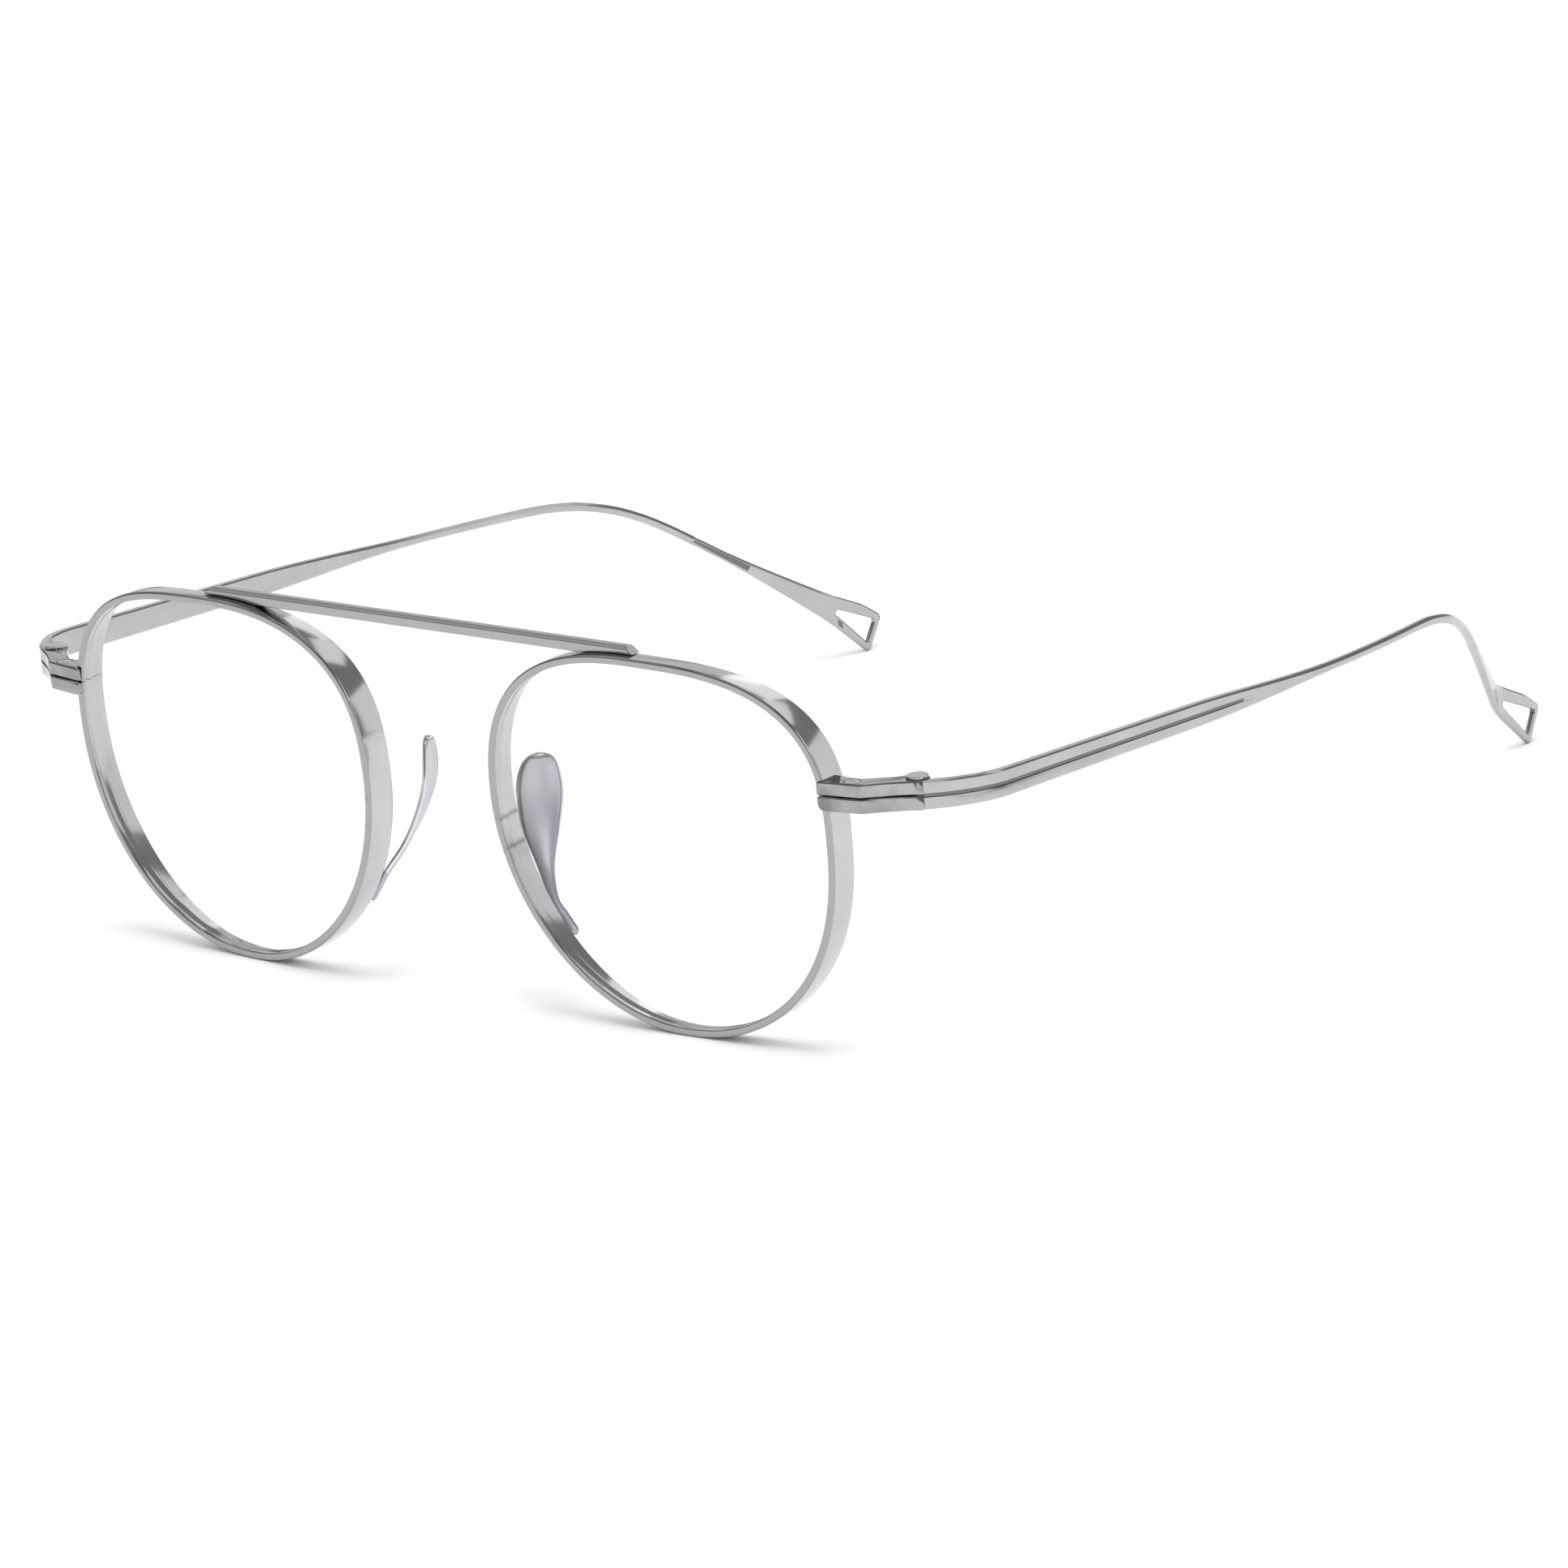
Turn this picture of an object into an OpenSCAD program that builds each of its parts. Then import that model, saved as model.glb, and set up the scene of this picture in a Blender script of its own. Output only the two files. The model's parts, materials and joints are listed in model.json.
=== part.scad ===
// Round eyeglasses: thin metal full-rim frame with a straight bar across the rims,
// bare leaf nose pads, stacked endpieces and folding temples with looped tips.
// Millimetres, +Z up, front towards -Y. Left and right are the wearer's; left is +X.
// The part stands on its rim bottoms and temple tips at z = 0.

/* [Lens and rim] */
// lens width across the groove
lens_w = 50; // [44:0.5:56]
// lens height above its widest line
lens_up = 19.2; // [16:0.1:22]
// lens height below its widest line
lens_down = 26.5; // [22:0.1:30]
// squareness of the upper temple-side corner, 2 is an ellipse
corner_upper_out = 2.72; // [2:0.02:3.2]
// squareness of the upper nose-side corner
corner_upper_in = 2.45; // [2:0.02:3.2]
// squareness of the lower nose-side corner
corner_lower_in = 1.96; // [1.9:0.02:2.6]
// squareness of the lower temple-side corner
corner_lower_out = 2.14; // [1.9:0.02:2.6]
// turn of the outline, top outward, degrees
outline_turn = 1.5; // [0:0.1:3]
// space between the two lenses
bridge_w = 21; // [17:0.5:24]
// radius of the lens curve
base_r = 95; // [85:1:150]
// turn of each lens towards the temple, degrees
wrap = 2.9; // [0:0.1:5]
// forward lean of the rim tops as the frame stands, degrees
lean = 2; // [0:0.1:5]
// front to back depth of the rim strip at its sides
rim_deep = 3.8; // [3.2:0.1:5]
// depth of the rim strip at its top
rim_deep_top = 2.3; // [2.2:0.1:4]
// depth of the rim strip at its bottom
rim_deep_bottom = 2.7; // [2.2:0.1:4]
// rim wall outside the lens groove
rim_wall = 0.5; // [0.4:0.05:0.8]
// depth of the lens groove
groove_deep = 0.45; // [0.3:0.05:0.6]
// rim wall behind the groove
rim_back_wall = 0.55; // [0.4:0.05:0.8]
// distance from the rim front to the middle of the groove
groove_y = 1; // [0.95:0.05:1.1]
// lens thickness
lens_t = 1.5; // [1.3:0.1:1.8]
// play between lens and groove
lens_gap = 0.05; // [0.03:0.01:0.1]

/* [Bridge bar] */
// half length of the bar
bar_half = 34.6; // [30:0.1:40]
// height of the bar
bar_h = 1.45; // [1.2:0.05:2.4]
// depth of the bar
bar_deep = 1.5; // [1.3:0.1:2.4]
// height of the bevel above the front face
bar_bevel_h = 0.3; // [0.1:0.05:0.5]
// depth of the bevel
bar_bevel_deep = 0.45; // [0.2:0.05:0.6]
// length at each end over which the underside follows the rim
foot_len = 12; // [10:0.5:14]
// how far the underside of the bar lies below the rim tops
bar_drop = 0.45; // [0:0.05:0.7]
// setback of the bar behind the rim front
bar_back = 1.1; // [0:0.05:1.4]
// radius of the rounded bar ends
bar_end_r = 0.7; // [0.3:0.1:0.8]

/* [Endpiece and hinge] */
// height of the rim split above the widest line of the lens
split_up = 5.6; // [3:0.05:9]
// height of the two halves together
end_h = 3.5; // [3.2:0.1:4.5]
// gap between the halves
split_gap = 0.12; // [0.06:0.02:0.2]
// overlap of the endpiece on the rim front
end_lap = 1; // [0.4:0.05:1.1]
// how far the endpiece stands in front of the rim
end_proud = 0.7; // [0.65:0.05:0.9]
// radius of the upper nasal corner, seen from the front
nose_top_r = 0.4; // [0.2:0.1:0.6]
// radius of the lower nasal corner, seen from the front
nose_low_r = 0.8; // [0.4:0.1:0.8]
// rim side to hinge pin, outward
hinge_out = 9.1; // [8.6:0.1:11]
// rim front to hinge pin, rearward
hinge_back = 5.6; // [5.2:0.1:7]
// heading of the endpiece side, degrees from straight outward
flare = 36; // [30:1:44]
// hinge pin to the outer face
pin_depth = 1.9; // [1.8:0.05:2.4]
// hinge pin to the joint line of the temple
butt_ahead = 0.7; // [0.5:0.05:0.9]
// length of the endpiece side in front of the pin
side_len = 6.5; // [5.5:0.1:7.5]
// hollow of the endpiece side
side_hollow = 0.2; // [0:0.05:0.3]
// thickness of the endpiece neck
neck_t = 2.7; // [2.5:0.1:3]
// radius of the hinge plates
boss_r = 1.5; // [1.45:0.05:1.6]
// height of the slot between the hinge plates
slot_h = 1.6; // [1.4:0.05:1.8]
// thickness of each washer
washer_t = 0.15; // [0.1:0.05:0.2]
// play above and below each washer
washer_gap = 0.02; // [0.01:0.01:0.04]
// radius of the hinge screw shank
pin_r = 0.6; // [0.5:0.05:0.7]
// play of the temple knuckle on the shank
pin_gap = 0.04; // [0.02:0.01:0.08]
// radius of the hinge screw head
pin_head_r = 1.35; // [1.1:0.05:1.45]
// height of the hinge screw head
pin_head_h = 0.4; // [0.3:0.05:0.5]
// radius of the rim screw shank
clamp_r = 0.5; // [0.4:0.05:0.6]
// radius of the rim screw head
clamp_head_r = 1; // [0.8:0.05:1.05]
// depth of the rim screw head in its seat
clamp_head_h = 0.5; // [0.4:0.05:0.7]
// width of the screwdriver slots
slot_w = 0.3; // [0.2:0.05:0.4]
// depth of the screwdriver slots
slot_deep = 0.2; // [0.1:0.05:0.25]
// play of fixed pieces that seat on each other
seat_gap = 0.02; // [0.01:0.01:0.04]
// joint gap at the open temple
butt_gap = 0.04; // [0.03:0.01:0.08]
// chamfer on the endpiece edges
edge = 0.16; // [0.1:0.02:0.2]

/* [Temple] */
// height of the temple at the hinge
temple_h = 3.4; // [3:0.1:4]
// height where the long taper starts
waist_h = 2.9; // [2.4:0.1:3.4]
// thickness of the temple
temple_t = 1.2; // [1:0.05:1.4]
// height and thickness of the wire at the ear bend
wire_d = 1.1; // [0.9:0.05:1.3]
// length of the outward curve behind the hinge
flare_len = 10.8; // [9:0.1:13]
// straight length behind the outward curve
straight_len = 44; // [38:0.5:50]
// length of the gentle inward turn
inward_len = 34; // [28:0.5:40]
// angle of the gentle inward turn, degrees
inward_turn = 10; // [6:0.5:14]
// length of the ear bend
ear_len = 28; // [22:0.5:34]
// further inward turn along the ear bend, degrees
ear_turn = 20; // [14:0.5:26]
// fall of the temple line along its straight part, degrees
fall = 2.6; // [1:0.1:4]
// fall of the tail behind the ear bend, degrees
drop = 34.5; // [28:0.5:40]
// distance from the hinge where the height starts to taper
taper_start = 42; // [36:0.5:52]
// length of the taper
taper_len = 32; // [24:0.5:36]
// length of the lengthwise groove
channel_len = 53; // [40:0.5:60]
// height of the lengthwise groove
channel_h = 0.5; // [0.3:0.05:0.6]
// depth of the lengthwise groove
channel_deep = 0.16; // [0.1:0.02:0.3]

/* [Tip loop] */
// thickness of the loop plate
loop_t = 1.1; // [0.9:0.05:1.3]
// length of the loop from the fork to its upper corner
loop_len = 9.5; // [8.5:0.1:11]
// length of the edge that closes the loop
loop_rear = 5.3; // [4.8:0.1:5.8]
// height of the wire where it forks into the loop
fork_h = 3.3; // [3:0.1:3.6]
// part of the tail that stays round before it widens
fork_from = 0.25; // [0.1:0.05:0.4]
// width of the strip round the opening
loop_strip = 1.15; // [1:0.05:1.4]
// inward heading of the loop, degrees
loop_heading = 4; // [0:1:8]

/* [Nose pads] */
// width of the leaf at its widest
pad_w = 6; // [5:0.1:7]
// thickness of the leaf
pad_t = 0.8; // [0.6:0.05:1]
// width of the pad arm
arm_w = 1.2; // [1:0.05:1.5]
// heading of the leaf, degrees from straight back
pad_turn = 28; // [20:1:36]
// hollow of the leaf across its width
pad_dish = 0.45; // [0:0.05:0.6]
// hollow gap between the arm and the rim back edge
pad_gap = 0.05; // [0.03:0.01:0.1]

/* [Hidden] */
$fn = 64;
rim_steps = 80;
lens_rings = 3;
path_step = 2;
pad_steps = 22;
foot_steps = 24;
tail_rings = 4;
fork_lap = 0.15;

// outline of the lens seen from the front, u outward and v up
function power(x, n) = sign(x) * pow(abs(x), 2 / n);
function corner_n(c, s) = s >= 0
    ? (c >= 0 ? corner_upper_out : corner_upper_in)
    : (c >= 0 ? corner_lower_out : corner_lower_in);
function turned(p, a) = [p.x * cos(a) - p.y * sin(a), p.x * sin(a) + p.y * cos(a)];
function outline(a) = turned([
    lens_w / 2 * power(cos(a), corner_n(cos(a), sin(a))),
    (sin(a) >= 0 ? lens_up : lens_down) * power(sin(a), corner_n(cos(a), sin(a)))
], -outline_turn);
function unit(v) = v / norm(v);
function outward(a) = let (d = unit(outline(a + 1) - outline(a - 1))) [d.y, -d.x];
function beside(a, n) = outline(a) + n * outward(a);

// place in the frame of a point on the curved and turned left lens, w is depth behind its front
function on_front(p, w) = let (
    d = w + (p.x * p.x + p.y * p.y) / (2 * base_r),
    y = d * cos(lean) - p.y * sin(lean)
) [
    rim_x + p.x * cos(wrap) - y * sin(wrap),
    p.x * sin(wrap) + y * cos(wrap),
    rim_z + p.y * cos(lean) + d * sin(lean)
];
rim_x = (bridge_w + lens_w) / 2;
rim_z = -min([
    for (i = [240 : 0.5 : 300])
    let (p = beside(i, rim_wall))
    p.y * cos(lean) + (p.x * p.x + p.y * p.y) / (2 * base_r) * sin(lean)
]);
rim_top = max([for (i = [0 : 359]) on_front(beside(i, rim_wall), 0).z]);

// angle round the outline where the rim is split
split_z = rim_z + split_up;
side_heights = [for (i = [-30 : 60]) [on_front(beside(i, rim_wall), 0).z, i]];
function angle_at(z) = lookup(z, side_heights);
split_a = angle_at(split_z);
rim_side = on_front(beside(split_a, rim_wall), 0);
split_turn = asin(min(1, split_gap / 2 / norm(outline(split_a))));

// hinge pin, and the directions along and out of the endpiece side
pin = [rim_side.x + hinge_out, rim_side.y + hinge_back];
along = [cos(flare), sin(flare)];
out = [sin(flare), -cos(flare)];
function by_pin(a, b) = pin + a * along + b * out;
crease = by_pin(-side_len, pin_depth);
nasal = [rim_side.x - end_lap, rim_side.y - end_proud];
clamp = [(nasal.x + rim_wall + crease.x) / 2 + 0.9, (nasal.y + crease.y) / 2 + neck_t / 2];
end_top = split_z + end_h / 2;
end_bottom = split_z - end_h / 2;
knuckle_h = slot_h - 2 * washer_t - 4 * washer_gap;
knuckle_r = boss_r - 0.1;
pocket_r = boss_r + 0.05;

// temple centre line as a heading and a fall at each distance from the joint
ear_start = flare_len + straight_len + inward_len;
tail_start = ear_start + ear_len;
function part_of(s, from, len) = max(0, min(1, (s - from) / len));
function smooth(t) = t * t * (3 - 2 * t);
function heading(s) = flare + (90 - flare) * part_of(s, 0, flare_len)
    + inward_turn * part_of(s, flare_len + straight_len, inward_len)
    + ear_turn * part_of(s, ear_start, ear_len);
function dip(s) = fall * part_of(s, 1, 6)
    + (drop - fall) * smooth(part_of(s, ear_start, ear_len));
function step_dir(s) = [
    cos(heading(s)) * cos(dip(s)),
    sin(heading(s)) * cos(dip(s)),
    -sin(dip(s))
];
path_from = concat(by_pin(butt_ahead + butt_gap, pin_depth - temple_t / 2), split_z);
path_n = ceil(tail_start / path_step);
path_ds = tail_start / path_n;
function walk(i) = i == 0 ? [path_from] : let (
    before = walk(i - 1)
) concat(before, [before[i - 1] + path_ds * step_dir((i - 0.5) * path_ds)]);
bend_path = walk(path_n);
bend_end = bend_path[path_n];

// loop outline in its own plane, x along its heading and y up, from the middle of the fork
fork_n = [sin(drop), cos(drop)] * fork_h / 2;
fork_back = [cos(drop), -sin(drop)] * fork_lap;
loop_tip = [loop_len, -loop_len * 0.364];
loop_toe = loop_tip - loop_rear * [0.53, 0.85];
loop_outline = rounded([
    concat(fork_n - fork_back, 0),
    concat(fork_n, 0),
    [loop_len * 0.65, -loop_len * 0.12, 12],
    concat(loop_tip, 0.7),
    concat(loop_toe, 0.6),
    concat(-fork_n, 0),
    concat(-fork_n - fork_back, 0)
]);
loop_hole = rounded([
    [loop_strip + 0.05, -0.4, 0.35],
    concat(loop_tip - loop_strip * [1.36, 0.2], 0.5),
    concat(loop_toe + loop_strip * [0.05, 1.36], 0.3)
]);
loop_low_y = min([for (p = loop_outline) p.y]);
tail_len = (bend_end.z + loop_low_y) / sin(drop);
tail_dir = step_dir(tail_start);
wire_end = bend_end + tail_len * tail_dir;
loop_dir = [-sin(loop_heading), cos(loop_heading)];
loop_from = [wire_end.x, wire_end.y];

// front and rear of the part, which is centred between them
rear_y = loop_from.y + loop_len * loop_dir.y + loop_t / 2 * sin(loop_heading);
bar_front = on_front(beside(100, rim_wall), 0).y + bar_back;
front_y = min([for (i = [0 : 5 : 355]) on_front(beside(i, rim_wall), 0).y]);
mid_y = (front_y + rear_y) / 2;

// corner rounding for plan outlines, each corner is [x, y, radius]
function rounded(c) = [
    for (i = [0 : len(c) - 1])
    let (
        n = len(c),
        p = [c[i].x, c[i].y],
        a = unit([c[(i + n - 1) % n].x, c[(i + n - 1) % n].y] - p),
        b = unit([c[(i + 1) % n].x, c[(i + 1) % n].y] - p),
        half = acos(max(-1, min(1, a * b))) / 2,
        r = c[i].z,
        m = r == 0 ? 0 : max(1, ceil((180 - 2 * half) / 15)),
        centre = p + unit(a + b) * r / sin(half),
        a0 = atan2((p + a * r / tan(half) - centre).y, (p + a * r / tan(half) - centre).x),
        a1 = atan2((p + b * r / tan(half) - centre).y, (p + b * r / tan(half) - centre).x),
        sweep = a1 - a0 > 180 ? a1 - a0 - 360 : (a1 - a0 < -180 ? a1 - a0 + 360 : a1 - a0)
    )
    for (k = [0 : m])
    r == 0 ? p : centre + r * [cos(a0 + sweep * k / m), sin(a0 + sweep * k / m)]
];

// closed skin over rings with the same number of points; cap lists the triangles of its ends
module skin(rings, cap = []) {
    n = len(rings[0]);
    m = len(rings);
    sides = [
        for (i = [0 : m - 2])
        for (j = [0 : n - 1])
        for (f = [
            [i * n + j, i * n + (j + 1) % n, (i + 1) * n + j],
            [i * n + (j + 1) % n, (i + 1) * n + (j + 1) % n, (i + 1) * n + j]
        ])
        f
    ];
    last = (m - 1) * n;
    caps = len(cap) == 0
        ? [[for (j = [n - 1 : -1 : 0]) j], [for (j = [0 : n - 1]) last + j]]
        : [for (t = cap) for (f = [[t[0], t[2], t[1]], [for (k = t) last + k]]) f];
    polyhedron([for (r = rings) for (p = r) p], concat(sides, caps));
}

// the part is centred on the origin, and the right side mirrors the left
module left() {
    translate([0, -mid_y, 0])
    children();
}

module right() {
    mirror([1, 0, 0])
    left()
    children();
}

// depth of the rim strip round the outline
function rim_depth(a) = rim_deep
    + ((sin(a) > 0 ? rim_deep_top : rim_deep_bottom) - rim_deep) * pow(sin(a), 4);

// rim strip section as [outward from the groove bottom, depth]
function rim_section(deep) = [
    [rim_wall - 0.25, 0],
    [-groove_deep + 0.15, 0],
    [-groove_deep, 0.15],
    [-groove_deep, groove_y - 0.4],
    [0, groove_y],
    [-groove_deep, groove_y + 0.4],
    [-groove_deep, groove_y + 0.6],
    [rim_wall - rim_back_wall, groove_y + 1],
    [rim_wall - rim_back_wall, deep],
    [rim_wall - 0.1, deep],
    [rim_wall, deep - 0.1],
    [rim_wall, 0.3]
];

module rim() {
    color([0.72, 0.72, 0.73])
    skin([
        for (i = [0 : rim_steps])
        let (a = split_a + split_turn + (360 - 2 * split_turn) * i / rim_steps)
        [for (q = rim_section(rim_depth(a))) on_front(beside(a, q.x), q.y)]
    ]);
}

// the lens follows the same outline, with a bevel that sits in the groove
module lens() {
    inset = groove_deep + lens_gap;
    bevel = [
        [-inset, groove_y - lens_t / 2],
        [-inset, groove_y - 0.4 + lens_gap],
        [-lens_gap, groove_y],
        [-inset, groove_y + 0.4 - lens_gap],
        [-inset, groove_y + lens_t / 2]
    ];
    shrink = [for (k = [lens_rings - 1 : -1 : 1]) k / lens_rings];
    turn = [for (i = [0 : rim_steps - 1]) 360 * i / rim_steps];
    front = [for (k = shrink) [for (a = turn) on_front(k * beside(a, -inset), bevel[0].y)]];
    back = [for (k = shrink) [for (a = turn) on_front(k * beside(a, -inset), bevel[4].y)]];
    edge_rings = [for (q = bevel) [for (a = turn) on_front(beside(a, q.x), q.y)]];
    rings = concat([for (k = [len(front) - 1 : -1 : 0]) front[k]], edge_rings, back);
    n = rim_steps;
    m = len(rings);
    sides = [
        for (i = [0 : m - 2])
        for (j = [0 : n - 1])
        for (f = [
            [i * n + j, i * n + (j + 1) % n, (i + 1) * n + j],
            [i * n + (j + 1) % n, (i + 1) * n + (j + 1) % n, (i + 1) * n + j]
        ])
        f
    ];
    front_fan = [for (j = [0 : n - 1]) [m * n, (j + 1) % n, j]];
    back_fan = [for (j = [0 : n - 1]) [m * n + 1, (m - 1) * n + j, (m - 1) * n + (j + 1) % n]];
    centres = [on_front([0, 0], bevel[0].y), on_front([0, 0], bevel[4].y)];
    color([0.75, 0.8, 0.95, 0.35])
    polyhedron(
        concat([for (r = rings) for (p = r) p], centres),
        concat(sides, front_fan, back_fan)
    );
}

// straight bar with two feet that follow the rim tops, cut to its section with a bevelled top edge
module bridge_bar() {
    bar_bottom = rim_top - bar_drop;
    bar_top = bar_bottom + bar_h;
    rim_heights = [
        for (i = [130 : -1 : 60])
        let (p = on_front(beside(i, rim_wall + 2 * seat_gap), bar_back + bar_deep))
        [p.x, p.z]
    ];
    seat = [
        for (k = [0 : foot_steps])
        let (x = bar_half - foot_len * (1 - k / foot_steps))
        [x, lookup(x, rim_heights)]
    ];
    half = concat(
        [[0, bar_bottom]],
        [for (p = seat) if (p.y > bar_bottom) p],
        [for (k = [0 : 6]) [
            bar_half - bar_end_r + bar_end_r * cos(k * 15),
            bar_top - bar_end_r + bar_end_r * sin(k * 15)
        ]],
        [[0, bar_top]]
    );
    low = rim_top - 2;
    color([0.66, 0.66, 0.67])
    left()
    intersection() {
        translate([0, bar_front + bar_deep, 0])
        rotate([90, 0, 0])
        linear_extrude(bar_deep)
        polygon(concat(half, [for (i = [len(half) - 2 : -1 : 1]) [-half[i].x, half[i].y]]));
        translate([-bar_half - 1, bar_front, 0])
        rotate([90, 0, 90])
        linear_extrude(2 * bar_half + 2)
        polygon([
            [0, low],
            [bar_deep, low],
            [bar_deep, bar_top - 0.15],
            [bar_deep - 0.15, bar_top],
            [bar_bevel_deep, bar_top],
            [0, bar_top - bar_bevel_h]
        ]);
    }
}

// leaf pad and its arm: the centre line runs from the foot on the rim back edge to the pad tip
function behind_rim(a, n, d) = on_front(beside(a, rim_wall + n), rim_depth(a) + pad_gap + arm_w / 2 + d);
pad_foot = behind_rim(224, -0.3, 0);
pad_line = [
    pad_foot,
    behind_rim(218.5, -0.3, 0),
    behind_rim(213, -0.1, 0.1),
    pad_foot + [-5.3, 1.4, 7.4],
    pad_foot + [-6.9, 2.9, 11.4],
    pad_foot + [-7.6, 4.1, 15.4],
    pad_foot + [-7.6, 4.6, 20.2]
];
pad_wide = [arm_w, arm_w, arm_w, arm_w * 1.9, pad_w * 0.8, pad_w];
pad_round = len(pad_wide) - 1;

// smooth value through evenly spaced knots
function knot(list, i) = list[max(0, min(len(list) - 1, i))];
function through(list, t) = let (
    i = min(len(list) - 2, floor(t)),
    f = t - i,
    a = knot(list, i - 1),
    b = knot(list, i),
    c = knot(list, i + 1),
    d = knot(list, i + 2)
) b + f * ((c - a) / 2 + f * (a - 5 / 2 * b + 2 * c - d / 2 + f * (3 * b - a - 3 * c + d) / 2));

module nose_pad() {
    last = len(pad_line) - 1;
    across = [sin(pad_turn), cos(pad_turn), 0];
    half_turn = [for (k = [0 : 5]) 180 * (k + 0.5) / 6];
    color([0.7, 0.7, 0.72])
    skin([
        for (i = [0 : pad_steps])
        let (
            t = last * sin(90 * i / pad_steps),
            p = through(pad_line, t),
            d = unit(through(pad_line, min(last, t + 0.05)) - through(pad_line, max(0, t - 0.05))),
            side = unit(across - (across * d) * d),
            face = cross(d, side),
            w = t < pad_round ? through(pad_wide, t)
                : max(arm_w * 0.5, pad_w * sqrt(max(0, 1 - pow(t - pad_round, 2)))),
            dish = pad_dish * max(0, (w - arm_w) / (pad_w - arm_w))
        )
        [
            for (f = [1, -1])
            for (h = half_turn)
            let (q = -f * cos(h), z = f * sin(h) * pad_t / 2 + dish * (q * q - 0.5))
            p + q * w / 2 * side + z * face
        ]
    ]);
}

// plan outline of the endpiece, from its nasal corner round the hinge plate and back to the rim
end_y = clamp.y + neck_t / 2;
end_nose = 0.22;
butt_side = sqrt(boss_r * boss_r - butt_ahead * butt_ahead);
end_side = concat(
    [crease],
    [for (k = [1 : 5]) by_pin(
        -side_len + (side_len + butt_ahead) * k / 6,
        pin_depth - side_hollow * sin(180 * k / 6)
    )],
    [by_pin(butt_ahead, pin_depth)],
    [for (k = [0 : 11]) let (a = atan2(butt_side, butt_ahead) * (1 - k / 11) - 112 * k / 11)
        by_pin(boss_r * cos(a), boss_r * sin(a))],
    [by_pin(-2.6, pin_depth - neck_t), [clamp.x + 0.3, end_y - 0.05]]
);
function inset(line, i, d) = let (
    n = len(line),
    t = unit(line[i] - line[(i + n - 1) % n]) + unit(line[(i + 1) % n] - line[i])
) line[i] + d * unit([-t.y, t.x]);

// the three points that seat on the rim strip at a height: behind, at its front edge, and on its front
function seat(z, n) = let (
    a = angle_at(z),
    back = on_front(beside(a, rim_wall + 2 * seat_gap), end_y - rim_side.y),
    corner = on_front(beside(a, rim_wall + 2 * seat_gap), -seat_gap),
    lap = on_front(beside(a, rim_wall - end_lap + n), -seat_gap)
) [[back.x, end_y], [corner.x, corner.y], [nasal.x + n, lap.y]];
function end_ring(z, d, n) = let (
    s = seat(z, n),
    line = concat([nasal + [n, end_nose], nasal + [n + end_nose, 0]], end_side, s),
    ring = concat(
        [for (i = [0 : len(line) - 4]) inset(line, i, d)],
        [s[0] - [0, d], s[1], s[2] + [d, 0]]
    )
) [for (p = ring) concat(p, z)];

// triangles across the outline: nasal lap, neck, side and hinge plate
end_n = len(end_side) + 5;
plate_i = end_n - 6;
neck_i = end_n - 5;
end_cap = concat(
    [for (j = [0 : 2]) [end_n - 2, (end_n - 1 + j) % end_n, j]],
    [for (j = [neck_i : end_n - 3]) [2, j, j + 1]],
    [for (j = [2 : 4]) [j, j + 1, neck_i]],
    [[5, plate_i, neck_i]],
    [for (j = [5 : plate_i - 2]) [j, j + 1, plate_i]]
);

// ring at an angle of the rounding that starts at a height and runs up or down
function end_round(z, run, r, t) = let (
    f = r * (1 - sin(t))
) end_ring(z + run * f, max(0, edge - f), r * (1 - cos(t)));

// one half of the endpiece between two heights, with chamfered edges and a rounded nasal end
module end_half(low, high, low_r, high_r) {
    difference() {
        skin(
            concat(
                [for (t = [90 : -30 : 0]) end_round(high, -1, high_r, t)],
                [for (t = [0 : 30 : 90]) end_round(low, 1, low_r, t)]
            ),
            end_cap
        );
        translate([pin.x, pin.y, split_z - slot_h / 2])
        cylinder(r = pocket_r, h = slot_h);
        translate([pin.x, pin.y, low - 1])
        cylinder(r = pin_r + seat_gap, h = high - low + 2);
        translate([clamp.x, clamp.y, low - 1])
        cylinder(r = clamp_r + seat_gap, h = high - low + 2);
        translate([clamp.x, clamp.y, end_top - clamp_head_h])
        cylinder(r = clamp_head_r + seat_gap, h = 2);
    }
}

module endpiece_upper() {
    color([0.68, 0.68, 0.69])
    end_half(split_z + split_gap / 2, end_top, edge, nose_top_r);
}

module endpiece_lower() {
    color([0.6, 0.6, 0.62])
    end_half(end_bottom, split_z - split_gap / 2, nose_low_r, edge);
}

// screw with a slotted head, standing with the underside of its head at the origin
module screw(shank_r, shank_len, head_r, head_h) {
    difference() {
        rotate_extrude()
        polygon([
            [0, -shank_len],
            [shank_r - 0.1, -shank_len],
            [shank_r, -shank_len + 0.1],
            [shank_r, 0],
            [head_r, 0],
            [head_r, head_h * 0.6],
            [head_r - head_h * 0.4, head_h],
            [0, head_h]
        ]);
        translate([-head_r - 1, -slot_w / 2, head_h - slot_deep])
        cube([2 * head_r + 2, slot_w, slot_deep + 1]);
    }
}

module hinge_screw() {
    color([0.78, 0.78, 0.78])
    translate([pin.x, pin.y, end_top + seat_gap])
    rotate([0, 0, flare])
    screw(pin_r, end_h + seat_gap, pin_head_r, pin_head_h);
}

module rim_screw() {
    color([0.78, 0.78, 0.78])
    translate([clamp.x, clamp.y, end_top - clamp_head_h + seat_gap])
    rotate([0, 0, 10])
    screw(clamp_r, end_h - clamp_head_h, clamp_head_r, clamp_head_h - seat_gap);
}

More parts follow.
